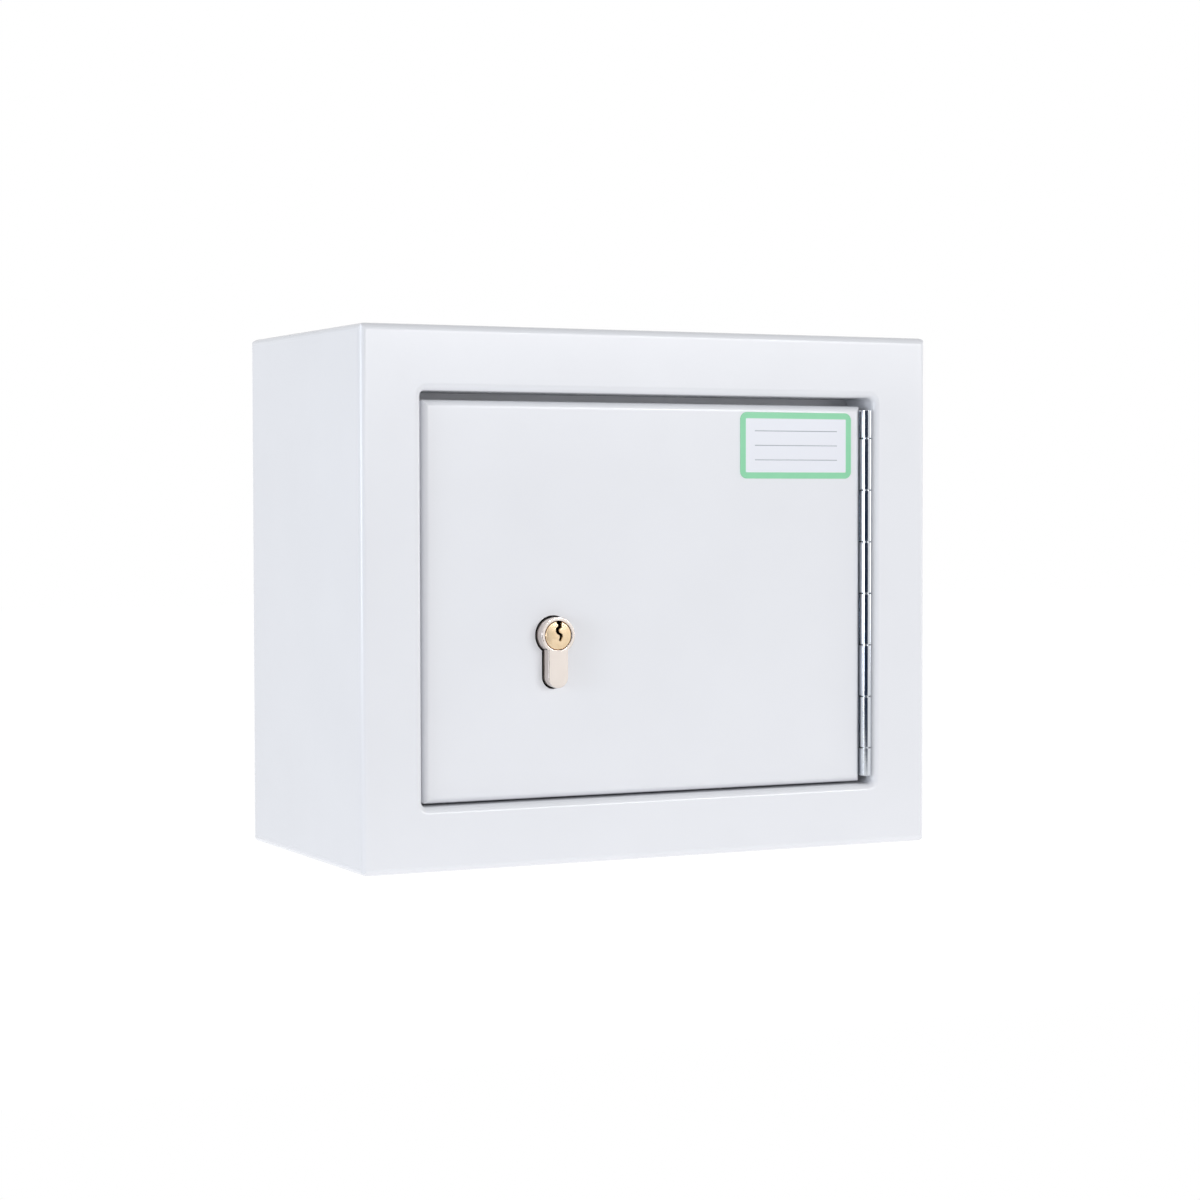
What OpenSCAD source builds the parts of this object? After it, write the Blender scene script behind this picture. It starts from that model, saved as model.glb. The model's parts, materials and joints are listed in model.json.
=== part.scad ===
// Lockable medicine cabinet: a small wall cabinet of folded and welded sheet steel.
// Millimetres. X runs along the width, Y into the wall, Z up.
// The origin is the middle of the wall-hole pattern, on the back face.

/* [Cabinet] */
// Overall width of the cabinet
cab_w = 300; // [260:1:600]
// Overall height of the cabinet
cab_h = 250; // [205:1:600]
// Overall depth of the steel body, front face to wall
cab_d = 150; // [120:1:400]
// Thickness of the body sheet
sheet = 2; // [1.5:0.1:2.5]
// Outside radius of every bend in the body
bend_r = 3.5; // [3:0.1:5]
// Width of the flange folded in round the back
rear_flange_w = 14; // [10:1:20]

/* [Door opening] */
// Width of the front border round the opening
border_w = 30; // [26:1:45]
// Corner radius of the opening, on the returns
opening_corner_r = 2.5; // [1:0.5:6]
// Thickness of the stop bars behind the door
stop_t = 2.5; // [2:0.5:4]
// Height of the stop bars
stop_h = 11; // [8:0.5:14]
// Radius of the rubber buffers
buffer_r = 3.5; // [3:0.1:4]
// Thickness of the rubber buffers
buffer_t = 1.8; // [1:0.1:3]
// Gap between the closed door and its buffers
buffer_gap = 0.2; // [0.1:0.1:1]

/* [Door] */
// How far the door face lies behind the front face
door_recess = 4; // [3:0.5:6]
// Depth of the folded door pan
door_depth = 20; // [18:0.5:30]
// Thickness of the door sheet
door_sheet = 2; // [1.5:0.1:2.5]
// Outside bend radius of the door pan
door_bend_r = 3.5; // [3:0.1:4]
// Radius of the welded corners of the door pan
door_corner_r = 1.5; // [1:0.1:3]
// Gap between the door and the return on the latch side
gap_latch = 2; // [1.5:0.1:3]
// Gap above the door
gap_top = 4; // [1:0.1:5]
// Gap below the door
gap_bottom = 1; // [1:0.1:5]
// Thickness of the inner tray that closes the door pan
tray_sheet = 1.5; // [1:0.1:2]
// Depth of the flange round the inner tray
tray_flange_d = 12; // [10:0.5:14]
// Thickness of the guard plate behind the lock
guard_t = 3; // [2:0.5:5]

/* [Hinge] */
// Radius of the hinge pin
pin_r = 1.65; // [1.4:0.05:2]
// Radial clearance of the hinge pin in the knuckles
pin_fit = 0.05; // [0.03:0.01:0.08]
// Wall of the knuckles
knuckle_wall = 1; // [0.8:0.1:1.3]
// Gap between the barrel and the hinge-side return
barrel_gap = 0.3; // [0.2:0.05:0.6]
// How far the barrel stands proud of the front face
barrel_proud = 0.1; // [0:0.1:0.6]
// Distance from the barrel axis to the edge of the door
axis_to_door = 2; // [2:0.1:3]
// Thickness of the hinge leaves
leaf_t = 1; // [0.8:0.1:1.2]
// Width of each leaf, from the barrel axis
leaf_w = 19; // [17:0.5:20]
// Pitch of the knuckles
knuckle_pitch = 25.4; // [20:0.1:32]
// Gap between two knuckles
knuckle_gap = 0.3; // [0.2:0.05:0.6]
// Distance from the end of the hinge to the end of the door
hinge_end_gap = 2.5; // [2:0.1:10]
// How far the middle of the hinge lies above the middle of the door
hinge_shift = 0.5; // [0:0.1:1]
// Pitch of the rivets along each leaf
rivet_pitch = 48; // [40:1:60]
// Radius of the rivet shanks
rivet_r = 2; // [1.6:0.1:2.4]

/* [Lock] */
// Distance from the door's latch edge to the key plug
backset = 65.3; // [64:0.1:80]
// How far the key plug lies below the middle of the cabinet
lock_drop = 17.8; // [0:0.1:20]
// How far the lock cylinder stands proud of the door
cylinder_proud = 6; // [3:0.5:8]
// Radius of the key plug
plug_r = 6.8; // [6.4:0.1:7]
// Clearance between the lock cylinder and the cut-out in the door
cutout_gap = 0.7; // [0.4:0.1:1]
// Thickness of the bolt head
bolt_t = 8; // [6.5:0.1:9.6]
// Height of the bolt head
bolt_h = 18; // [15:0.5:22]
// Turn of the key that drives the bolt
drive_angle = 70; // [64:1:84]
// Travel of the bolt for each degree that the key turns
bolt_per_degree = 0.2; // [0.19:0.005:0.21]
// Thickness of the keep plate behind the return
keep_t = 2.5; // [2:0.5:4]
// Half height of the keep plate
keep_half_h = 28; // [20:1:40]

/* [Shelf] */
// Height of the shelf above the middle of the cabinet
shelf_z = 0; // [-20:1:30]
// Thickness of the shelf sheet
shelf_sheet = 1.2; // [1:0.1:1.5]
// Depth of the lips folded down at the front and back of the shelf
shelf_lip = 12; // [8:1:20]
// Gap between the lock and the front of the shelf
shelf_lock_gap = 7; // [4:0.5:30]
// Width of each leg of the shelf brackets
bracket_leg = 12; // [8:1:16]
// Thickness of the shelf brackets
bracket_t = 1.5; // [1:0.1:2.5]

/* [Wall fixing] */
// Distance between the wall holes across the cabinet
wall_hole_dx = 150; // [80:1:180]
// Distance between the wall holes up the cabinet
wall_hole_dz = 90; // [60:1:108]
// Radius of the wall holes
wall_hole_r = 5.5; // [3:0.25:7]
// Width of the anchor plate beyond the wall holes
anchor_margin = 20; // [12:1:25]
// Thickness of the anchor plate
anchor_t = 3; // [3:0.5:5]

/* [Label] */
// Width of the label
label_w = 62; // [40:1:80]
// Height of the label
label_h = 32; // [20:1:40]
// Distance from the label to the hinge edge of the door
label_side_gap = 6; // [4.5:0.5:20]
// Distance from the label to the top edge of the door
label_top_gap = 3.6; // [3.5:0.1:20]
// Thickness of the label
label_t = 0.25; // [0.1:0.05:0.4]

/* [Hidden] */
$fn = 64;

// How far a cut runs past the face it opens on
over = 1;

// Faces of the cabinet
left = -cab_w / 2;
right = cab_w / 2;
floor_z = -cab_h / 2;
roof_z = cab_h / 2;
front = -cab_d;

// Edges of the door opening, on the returns
open_x0 = left + border_w;
open_x1 = right - border_w;
open_z0 = floor_z + border_w;
open_z1 = roof_z - border_w;

// Hinge barrel: it stands clear of the return, and the door hangs on its other side
barrel_r = pin_r + pin_fit + knuckle_wall;
hinge_x = open_x1 - barrel_gap - barrel_r;
hinge_y = front - barrel_proud + barrel_r;

// Faces of the door
door_x0 = open_x0 + gap_latch;
door_x1 = hinge_x - axis_to_door;
door_z0 = open_z0 + gap_bottom;
door_z1 = open_z1 - gap_top;
door_y0 = front + door_recess;
door_y1 = door_y0 + door_depth;
tray_y0 = door_y1 - tray_sheet;

// Stops: the returns run back far enough to carry the stop bars behind the buffers
stop_y0 = door_y1 + buffer_gap + buffer_t;
return_end = stop_y0 + stop_t;
return_d = return_end - front;
buffer_inset = 30;

// Knuckles: full ones as they fit, and an equal cut one at each end
hinge_mid = (door_z0 + door_z1) / 2 + hinge_shift;
hinge_len = door_z1 - door_z0 - 2 * hinge_end_gap;
hinge_z0 = hinge_mid - hinge_len / 2;
hinge_z1 = hinge_mid + hinge_len / 2;
full_knuckles = floor(hinge_len / knuckle_pitch - 1);
end_knuckle = (hinge_len - full_knuckles * knuckle_pitch) / 2;
knuckle_count = full_knuckles + 2;
knuckle_notch = barrel_r + 0.6;
pin_end_gap = 0.5;

// Rivets: those of the two leaves are staggered, so that their heads pass
rivet_count = floor(hinge_len / rivet_pitch + 0.3);
rivet_stagger = 6;
rivet_y = hinge_y + 12.9;
rivet_head_r = 3.75;
rivet_head_h = 1.1;
rivet_hole_r = rivet_r + 0.05;

// Profile cylinder: the standard outline, 33 mm tall, and its standard cam slot
lock_x = door_x0 + backset;
lock_z = -lock_drop;
head_r = 8.5;
stem_r = 5;
stem_drop = 19.5;
cylinder_y0 = door_y0 - cylinder_proud;
guard_gap = 0.4;
cam_slot_t = 9.5;
cam_t = 9.3;
cam_reach = 15;
cam_hub_r = 8.2;
cam_w = 7;
cam_sweep_gap = 0.6;
plug_fit = 0.05;
plug_proud = 0.3;
plug_tail_r = 5;
plug_tail = 2;
drive_tongue = [2.2, 2.5];
pin_count = 5;
pin_pitch = 4.5;
first_pin = 6;
chamber_r = 1.5;
chamber_plug_t = 1.6;
driver_len = 6;
driver_z = lock_z - plug_r - 0.15;
spring_len = 8.6;
clip_t = 0.8;

// Dead bolt: it passes just behind the returns, and its tail carries the notch for the cam
bolt_play = 0.5;
bolt_throw = drive_angle * bolt_per_degree;
cam_y = return_end + bolt_play + bolt_t / 2;
bolt_z0 = lock_z + 10;
bolt_tail_h = 12;
bolt_tail_t = 5;
bolt_head_len = 21;
tail_end = 3;
notch_w = 9.4;
notch_top = lock_z + cam_reach + cam_sweep_gap;
tail_x1 = lock_x + bolt_throw / 2 + notch_w / 2 + tail_end;
slide_gap = 0.2;

// Lock case: it holds the bolt, the cam and four spacers
case_t = 1.5;
forend_t = 2.5;
case_x0 = door_x0 + 3;
case_x1 = lock_x + 17.2;
case_z0 = lock_z - stem_drop - 13.1;
case_z1 = bolt_z0 + bolt_h + 12.9;
case_y1 = cam_y + 7.5;
cover_y1 = case_y1 + case_t;
cylinder_y1 = cam_y + 10;
screw_inset_x = 7;
screw_inset_z = 6;
screw_r = 1.95;
screw_hole_r = 2.1;
screw_head = [3.75, 2.2];
spacer_r = 3.5;
nut_h = 3.2;
nut_across = 7;

// Guide post: the bolt's slot runs on it
post_x = case_x0 + bolt_head_len + 6;
post_r = 2;
post_z = bolt_z0 + bolt_tail_h / 2;

// Brake spring: a bowed strip over the tail of the bolt
brake_r = 60;
brake_t = 0.5;
brake_x = (case_x0 + bolt_head_len + tail_x1) / 2;
brake_half_w = (tail_x1 - case_x0 - bolt_head_len) / 2 - 6;
brake_low = bolt_z0 + bolt_tail_h + 0.05;
peg_r = 1.5;

// Screw that holds the cylinder
fixing_z = lock_z - stem_drop;
fixing_r = 2.4;
fixing_hole_r = 2.5;

// Shelf: it clears the end of the lock
shelf_side_gap = 1;
shelf_back_gap = 4;
shelf_y0 = cylinder_y1 + plug_tail + shelf_lock_gap;
shelf_y1 = -sheet - anchor_t - shelf_back_gap;
shelf_bend_r = 2;

// ---- Shapes that several pieces share ----

// A block given by its two corners
module block(x, y, z) {
    translate([x[0], y[0], z[0]])
        cube([x[1] - x[0], y[1] - y[0], z[1] - z[0]]);
}

// Stands a flat shape drawn in X and Z up between two depths
module along_y(y0, y1) {
    translate([0, y1, 0])
        rotate([90, 0, 0])
            linear_extrude(y1 - y0)
                children();
}

// Runs a flat shape drawn in Y and Z from one side to the other
module along_x(x0, x1) {
    translate([x0, 0, 0])
        rotate([90, 0, 90])
            linear_extrude(x1 - x0)
                children();
}

// Raises a flat shape drawn in X and Y between two heights
module along_z(z0, z1) {
    translate([0, 0, z0])
        linear_extrude(z1 - z0)
            children();
}

// A flat rectangle with four round corners
module round_rect(a, b, r) {
    translate([a[0] + r, b[0]])
        square([a[1] - a[0] - 2 * r, b[1] - b[0]]);
    translate([a[0], b[0] + r])
        square([a[1] - a[0], b[1] - b[0] - 2 * r]);
    for (u = [a[0] + r, a[1] - r], v = [b[0] + r, b[1] - r])
        translate([u, v])
            circle(r);
}

// A flat rectangle, round only at the two corners on its low second axis
module front_round_rect(a, b, r) {
    translate([a[0] + r, b[0]])
        square([a[1] - a[0] - 2 * r, r]);
    translate([a[0], b[0] + r])
        square([a[1] - a[0], b[1] - b[0] - r]);
    for (u = [a[0] + r, a[1] - r])
        translate([u, b[0] + r])
            circle(r);
}

// The same, round at the two corners on its low first axis
module side_round_rect(a, b, r) {
    translate([a[0], b[0] + r])
        square([r, b[1] - b[0] - 2 * r]);
    translate([a[0] + r, b[0]])
        square([a[1] - a[0] - r, b[1] - b[0]]);
    for (v = [b[0] + r, b[1] - r])
        translate([a[0] + r, v])
            circle(r);
}

// A block with every edge round
module rounded_block(x, y, z, r) {
    intersection() {
        along_x(x[0], x[1])
            round_rect(y, z, r);
        along_y(y[0], y[1])
            round_rect(x, z, r);
        along_z(z[0], z[1])
            round_rect(x, y, r);
    }
}

// A block whose front edges are round, as a folded pan is
module pan_block(x, y, z, r) {
    intersection() {
        along_z(z[0], z[1])
            front_round_rect(x, y, r);
        along_x(x[0], x[1])
            side_round_rect(y, z, r);
    }
}

// A pin, bore or screw along X
module rod_x(x0, x1, y, z, r) {
    translate([x0, y, z])
        rotate([0, 90, 0])
            cylinder(h = x1 - x0, r = r);
}

// A pin, bore or screw along Y
module rod_y(y0, y1, x, z, r) {
    translate([x, y1, z])
        rotate([90, 0, 0])
            cylinder(h = y1 - y0, r = r);
}

// A pin or bore along Z
module rod_z(z0, z1, x, y, r) {
    translate([x, y, z0])
        cylinder(h = z1 - z0, r = r);
}

// ---- Body shell ----

// Section of a return: u runs from the opening into the border, v from the front into the depth
module return_section() {
    translate([0, bend_r])
        square([sheet, return_d - bend_r]);
    difference() {
        intersection() {
            translate([bend_r, bend_r])
                circle(bend_r);
            square([bend_r, bend_r]);
        }
        translate([bend_r, bend_r])
            circle(bend_r - sheet);
    }
    translate([bend_r, 0])
        square([over, sheet]);
}

// The returns folded in round the opening, with their round corners
module opening_returns() {
    r = opening_corner_r;
    run_x = open_x1 - open_x0 - 2 * r;
    run_z = open_z1 - open_z0 - 2 * r;
    starts = [
        [open_x1, open_z0 + r, run_z],
        [open_x1 - r, open_z1, run_x],
        [open_x0, open_z1 - r, run_z],
        [open_x0 + r, open_z0, run_x]
    ];
    for (i = [0:3])
        translate([starts[i][0], front, starts[i][1]])
            rotate([0, -90 * i, 0])
                linear_extrude(starts[i][2])
                    return_section();
    corners = [
        [open_x1 - r, open_z0 + r],
        [open_x0 + r, open_z0 + r],
        [open_x0 + r, open_z1 - r],
        [open_x1 - r, open_z1 - r]
    ];
    for (i = [0:3])
        translate([corners[i][0], front, corners[i][1]])
            rotate([-90, 0, 0])
                rotate([0, 0, 90 * i])
                    rotate_extrude(angle = 90)
                        translate([r, 0])
                            return_section();
}

module rivet_holes_frame(x0, x1) {
    for (z = rivet_heights(rivet_stagger))
        rod_x(x0, x1, rivet_y, z, rivet_hole_r);
}

module rivet_holes_door(x0, x1) {
    for (z = rivet_heights(-rivet_stagger))
        rod_x(x0, x1, rivet_y, z, rivet_hole_r);
}

function rivet_heights(shift) =
    [for (i = [0:rivet_count - 1])
        hinge_mid + (i - (rivet_count - 1) / 2) * rivet_pitch + shift];

module body_shell() {
    grow = bend_r;
    color([0.93, 0.94, 0.96])
    difference() {
        union() {
            difference() {
                rounded_block([left, right], [front, 0], [floor_z, roof_z], bend_r);
                rounded_block(
                    [left + sheet, right - sheet],
                    [front + sheet, -sheet],
                    [floor_z + sheet, roof_z - sheet],
                    bend_r - sheet
                );
                along_y(front - over, front + sheet + over)
                    round_rect(
                        [open_x0 - grow, open_x1 + grow],
                        [open_z0 - grow, open_z1 + grow],
                        opening_corner_r + grow
                    );
                along_y(-sheet - over, over)
                    back_outline();
            }
            opening_returns();
        }
        rivet_holes_frame(open_x1 - over, open_x1 + sheet + over);
    }
}

// Outline of the back panel and of the hole that it is welded into
module back_outline() {
    round_rect(
        [left + rear_flange_w, right - rear_flange_w],
        [floor_z + rear_flange_w, roof_z - rear_flange_w],
        bend_r
    );
}

module wall_holes(y0, y1) {
    for (x = [-1, 1], z = [-1, 1])
        rod_y(y0, y1, x * wall_hole_dx / 2, z * wall_hole_dz / 2, wall_hole_r);
}

module back_panel() {
    color([0.92, 0.93, 0.95])
    difference() {
        along_y(-sheet, 0)
            back_outline();
        wall_holes(-sheet - over, over);
    }
}

module anchor_plate() {
    half_w = wall_hole_dx / 2 + anchor_margin;
    half_h = wall_hole_dz / 2 + anchor_margin;
    color([0.90, 0.91, 0.93])
    difference() {
        along_y(-sheet - anchor_t, -sheet)
            round_rect([-half_w, half_w], [-half_h, half_h], 3);
        wall_holes(-sheet - anchor_t - over, -sheet + over);
    }
}

// ---- Stops and keep ----

// A bar fills the end of the opening from side to side, with its corners inside the returns'
module stop_bar(z0, z1) {
    color([0.91, 0.92, 0.94])
        along_y(stop_y0, return_end)
            intersection() {
                round_rect([open_x0, open_x1], [open_z0, open_z1], opening_corner_r);
                translate([open_x0, z0])
                    square([open_x1 - open_x0, z1 - z0]);
            }
}

module upper_stop_bar() {
    stop_bar(open_z1 - stop_h, open_z1);
}

module lower_stop_bar() {
    stop_bar(open_z0, open_z0 + stop_h);
}

module door_buffers() {
    rise = stop_h - buffer_r;
    color([0.74, 0.75, 0.77])
        for (x = [open_x0 + buffer_inset, open_x1 - buffer_inset])
            for (z = [open_z0 + rise, open_z1 - rise])
                rod_y(stop_y0 - buffer_t, stop_y0, x, z, buffer_r);
}

// The thrown bolt enters the mortise in this plate, behind the latch-side return
module bolt_keep() {
    x1 = open_x0 - sheet;
    mid = bolt_z0 + bolt_h / 2;
    color([0.88, 0.89, 0.91])
    difference() {
        block([x1 - keep_t, x1], [front + 8, cam_y + 13], [mid - keep_half_h, mid + keep_half_h]);
        block(
            [x1 - keep_t - over, x1 + over],
            [cam_y - bolt_t / 2 - bolt_play, cam_y + bolt_t / 2 + bolt_play],
            [bolt_z0 - bolt_play, bolt_z0 + bolt_h + bolt_play]
        );
    }
}

// ---- Hinge ----

// Lowest height of knuckle i, counted from the bottom
function knuckle_z(i) =
    i == 0 ? hinge_z0 : hinge_z0 + end_knuckle + (i - 1) * knuckle_pitch;

function knuckle_top(i) =
    i == knuckle_count - 1 ? hinge_z1 : hinge_z0 + end_knuckle + i * knuckle_pitch;

// A leaf: knuckles from number first, every second one, and the plate that they are rolled from
module hinge_leaf(first, plate_x) {
    difference() {
        union() {
            block(plate_x, [hinge_y + knuckle_notch, hinge_y + leaf_w], [hinge_z0, hinge_z1]);
            for (i = [first:2:knuckle_count - 1]) {
                z0 = knuckle_z(i) + (i == 0 ? 0 : knuckle_gap / 2);
                z1 = knuckle_top(i) - (i == knuckle_count - 1 ? 0 : knuckle_gap / 2);
                rod_z(z0, z1, hinge_x, hinge_y, barrel_r);
                block(plate_x, [hinge_y, hinge_y + knuckle_notch + over], [z0, z1]);
            }
        }
        rod_z(hinge_z0 - over, hinge_z1 + over, hinge_x, hinge_y, pin_r + pin_fit);
    }
}

module hinge_frame_leaf() {
    color([0.86, 0.88, 0.90])
    difference() {
        hinge_leaf(knuckle_count % 2 == 0 ? 1 : 0, [open_x1 - leaf_t, open_x1]);
        rivet_holes_frame(open_x1 - leaf_t - over, open_x1 + over);
    }
}

module hinge_door_leaf() {
    color([0.86, 0.88, 0.90])
    difference() {
        hinge_leaf(knuckle_count % 2 == 0 ? 0 : 1, [door_x1, door_x1 + leaf_t]);
        rivet_holes_door(door_x1 - over, door_x1 + leaf_t + over);
    }
}

module hinge_pin() {
    color([0.80, 0.82, 0.84])
        rod_z(hinge_z0 + pin_end_gap, hinge_z1 - pin_end_gap, hinge_x, hinge_y, pin_r);
}

// A blind rivet lying along +X from its head, with a spread tail past the gripped sheets
module blind_rivet(grip) {
    dome = (rivet_head_r * rivet_head_r + rivet_head_h * rivet_head_h) / (2 * rivet_head_h);
    rotate([0, 90, 0]) {
        difference() {
            mirror([0, 0, 1])
                rotate_extrude()
                    intersection() {
                        translate([0, rivet_head_h - dome])
                            circle(dome);
                        square([rivet_head_r, rivet_head_h]);
                    }
            translate([0, 0, -rivet_head_h - over])
                cylinder(h = over + 0.6, r = 1.1);
        }
        cylinder(h = grip + 1, r = rivet_r);
        translate([0, 0, grip])
            cylinder(h = 2.4, r = rivet_r + 0.8);
    }
}

module frame_leaf_rivets() {
    color([0.75, 0.77, 0.79])
        for (z = rivet_heights(rivet_stagger))
            translate([open_x1 - leaf_t, rivet_y, z])
                blind_rivet(leaf_t + sheet);
}

module door_leaf_rivets() {
    color([0.75, 0.77, 0.79])
        for (z = rivet_heights(-rivet_stagger))
            translate([door_x1 + leaf_t, rivet_y, z])
                mirror([1, 0, 0])
                    blind_rivet(leaf_t + door_sheet + tray_sheet);
}

// ---- Shelf ----

module shelf() {
    inner_r = shelf_bend_r - shelf_sheet;
    x1 = right - sheet - shelf_side_gap;
    color([0.92, 0.93, 0.95])
        along_x(-x1, x1)
            difference() {
                shelf_section(shelf_y0, shelf_y1, shelf_z + shelf_sheet, shelf_bend_r);
                shelf_section(
                    shelf_y0 + shelf_sheet,
                    shelf_y1 - shelf_sheet,
                    shelf_z,
                    inner_r
                );
            }
}

// Section of the shelf, with its two upper corners round
module shelf_section(y0, y1, top, r) {
    bottom = shelf_z + shelf_sheet - shelf_lip;
    low = r < shelf_bend_r ? bottom - over : bottom;
    translate([y0, low])
        square([y1 - y0, top - low - r]);
    translate([y0 + r, top - r - over])
        square([y1 - y0 - 2 * r, r + over]);
    for (y = [y0 + r, y1 - r])
        translate([y, top - r])
            circle(r);
}

// An angle bracket on the wall at x, with its shelf leg towards the middle
module shelf_bracket(x, side) {
    end_gap = shelf_sheet + 2;
    y = [shelf_y0 + end_gap, shelf_y1 - end_gap];
    color([0.91, 0.92, 0.94])
        translate([x, 0, 0])
            mirror([side > 0 ? 0 : 1, 0, 0]) {
                block([0, bracket_t], y, [shelf_z - bracket_leg, shelf_z]);
                block([0, bracket_leg], y, [shelf_z - bracket_t, shelf_z]);
            }
}

module left_shelf_bracket() {
    shelf_bracket(left + sheet, 1);
}

module right_shelf_bracket() {
    shelf_bracket(right - sheet, -1);
}

// ---- Door ----

// The standard outline of a profile cylinder, grown by a clearance
module cylinder_outline(grow) {
    translate([lock_x, lock_z]) {
        circle(head_r + grow);
        translate([-stem_r - grow, -stem_drop])
            square([2 * (stem_r + grow), stem_drop]);
        translate([0, -stem_drop])
            circle(stem_r + grow);
    }
}

module door_panel() {
    t = door_sheet;
    color([0.90, 0.91, 0.93])
    difference() {
        intersection() {
            pan_block([door_x0, door_x1], [door_y0, door_y1], [door_z0, door_z1], door_bend_r);
            along_y(door_y0 - over, door_y1 + over)
                round_rect([door_x0, door_x1], [door_z0, door_z1], door_corner_r);
        }
        pan_block(
            [door_x0 + t, door_x1 - t],
            [door_y0 + t, door_y1 + over],
            [door_z0 + t, door_z1 - t],
            door_bend_r - t
        );
        along_y(door_y0 - over, door_y0 + t + over)
            cylinder_outline(cutout_gap);
        rivet_holes_door(door_x1 - t - over, door_x1 + over);
    }
}

module door_inner_tray() {
    t = door_sheet;
    x = [door_x0 + t, door_x1 - t];
    z = [door_z0 + t, door_z1 - t];
    s = tray_sheet;
    color([0.91, 0.92, 0.94])
    difference() {
        block(x, [door_y1 - tray_flange_d, door_y1], z);
        block(
            [x[0] + s, x[1] - s],
            [door_y1 - tray_flange_d - over, tray_y0],
            [z[0] + s, z[1] - s]
        );
        along_y(tray_y0 - over, door_y1 + over)
            cylinder_outline(cutout_gap);
        at_case_screws()
            rod_y(tray_y0 - over, door_y1 + over, 0, 0, screw_hole_r);
        rivet_holes_door(x[1] - s - over, x[1] + over);
    }
}

module lock_guard_plate() {
    y0 = door_y0 + door_sheet;
    color([0.17, 0.17, 0.18])
    difference() {
        block([lock_x - 25, lock_x + 25], [y0, y0 + guard_t], [lock_z - 38, lock_z + 22]);
        along_y(y0 - over, y0 + guard_t + over)
            cylinder_outline(guard_gap);
    }
}

module label() {
    x1 = door_x1 - label_side_gap;
    z1 = door_z1 - label_top_gap;
    color([0.47, 0.80, 0.61])
        along_y(door_y0 - label_t, door_y0)
            round_rect([x1 - label_w, x1], [z1 - label_h, z1], 3.5);
}

// ---- Lock case ----

// The four corners where screws hold the case to the tray
module at_case_screws() {
    for (x = [case_x0 + screw_inset_x, case_x1 - screw_inset_x])
        for (z = [case_z0 + screw_inset_z, case_z1 - screw_inset_z])
            translate([x, 0, z])
                children();
}

// Pegs that the ends of the brake spring bear up against
module brake_pegs() {
    reach = brake_r - brake_t - peg_r - 0.05;
    turn = asin((brake_half_w - 2) / reach);
    for (side = [-1, 1])
        rod_y(
            door_y1 + case_t - 0.5,
            case_y1 - 2,
            brake_x + side * reach * sin(turn),
            brake_low + brake_r - reach * cos(turn),
            peg_r
        );
}

module lock_case() {
    color([0.78, 0.79, 0.80]) {
        difference() {
            block([case_x0, case_x1], [door_y1, case_y1], [case_z0, case_z1]);
            block(
                [case_x0 + forend_t, case_x1 - case_t],
                [door_y1 + case_t, case_y1 + over],
                [case_z0 + case_t, case_z1 - case_t]
            );
            along_y(door_y1 - over, door_y1 + case_t + over)
                cylinder_outline(cutout_gap);
            block(
                [case_x0 - over, case_x0 + forend_t + over],
                [cam_y - bolt_t / 2 - slide_gap, cam_y + bolt_t / 2 + slide_gap],
                [bolt_z0 - slide_gap, bolt_z0 + bolt_h + slide_gap]
            );
            translate([case_x0, cam_y, fixing_z])
                rotate([0, 90, 0]) {
                    translate([0, 0, -over])
                        cylinder(h = forend_t + 2 * over, r = fixing_r + 0.2);
                    cylinder(h = 2.2, r1 = fixing_r + 2.3, r2 = fixing_r + 0.1);
                }
            at_case_screws()
                rod_y(door_y1 - over, door_y1 + case_t + over, 0, 0, screw_hole_r);
            rod_y(door_y1 - over, door_y1 + case_t + over, post_x, post_z, post_r + 0.02);
        }
        brake_pegs();
    }
}

module lock_cover() {
    color([0.80, 0.81, 0.82])
    difference() {
        block([case_x0, case_x1], [case_y1, cover_y1], [case_z0, case_z1]);
        along_y(case_y1 - over, cover_y1 + over)
            cylinder_outline(cutout_gap);
        at_case_screws()
            rod_y(case_y1 - over, cover_y1 + over, 0, 0, screw_hole_r);
    }
}

module lock_spacers() {
    color([0.82, 0.83, 0.84])
        at_case_screws()
            difference() {
                rod_y(door_y1 + case_t, case_y1, 0, 0, spacer_r);
                rod_y(door_y1, case_y1 + over, 0, 0, screw_hole_r);
            }
}

module lock_fixing_screws() {
    end = tray_y0 - nut_h - 0.6;
    color([0.85, 0.86, 0.88])
        at_case_screws()
            difference() {
                union() {
                    rod_y(end, cover_y1 + over, 0, 0, screw_r);
                    rod_y(cover_y1, cover_y1 + screw_head[1], 0, 0, screw_head[0]);
                }
                for (a = [0, 90])
                    translate([0, cover_y1 + screw_head[1], 0])
                        rotate([0, a, 0])
                            cube([4, 2.4, 0.9], center = true);
            }
}

module weld_nuts() {
    color([0.70, 0.71, 0.72])
        at_case_screws()
            difference() {
                translate([0, tray_y0, 0])
                    rotate([90, 0, 0])
                        cylinder(h = nut_h, r = nut_across / 2 / cos(30), $fn = 6);
                rod_y(tray_y0 - nut_h - over, tray_y0 + over, 0, 0, 2);
            }
}

module bolt_guide_post() {
    color([0.72, 0.73, 0.75])
        rod_y(door_y1, case_y1, post_x, post_z, post_r);
}

module bolt_brake_spring() {
    color([0.60, 0.62, 0.66])
        along_y(cam_y - 3, cam_y + 3)
            translate([brake_x, brake_low + brake_r])
                intersection() {
                    difference() {
                        circle(brake_r);
                        circle(brake_r - brake_t);
                    }
                    translate([-brake_half_w, -brake_r])
                        square([2 * brake_half_w, brake_r]);
                }
}

// ---- Profile cylinder ----

// Depth of pin i, counted from the front of the cylinder
function pin_y(i) = cylinder_y0 + first_pin + i * pin_pitch;

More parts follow.
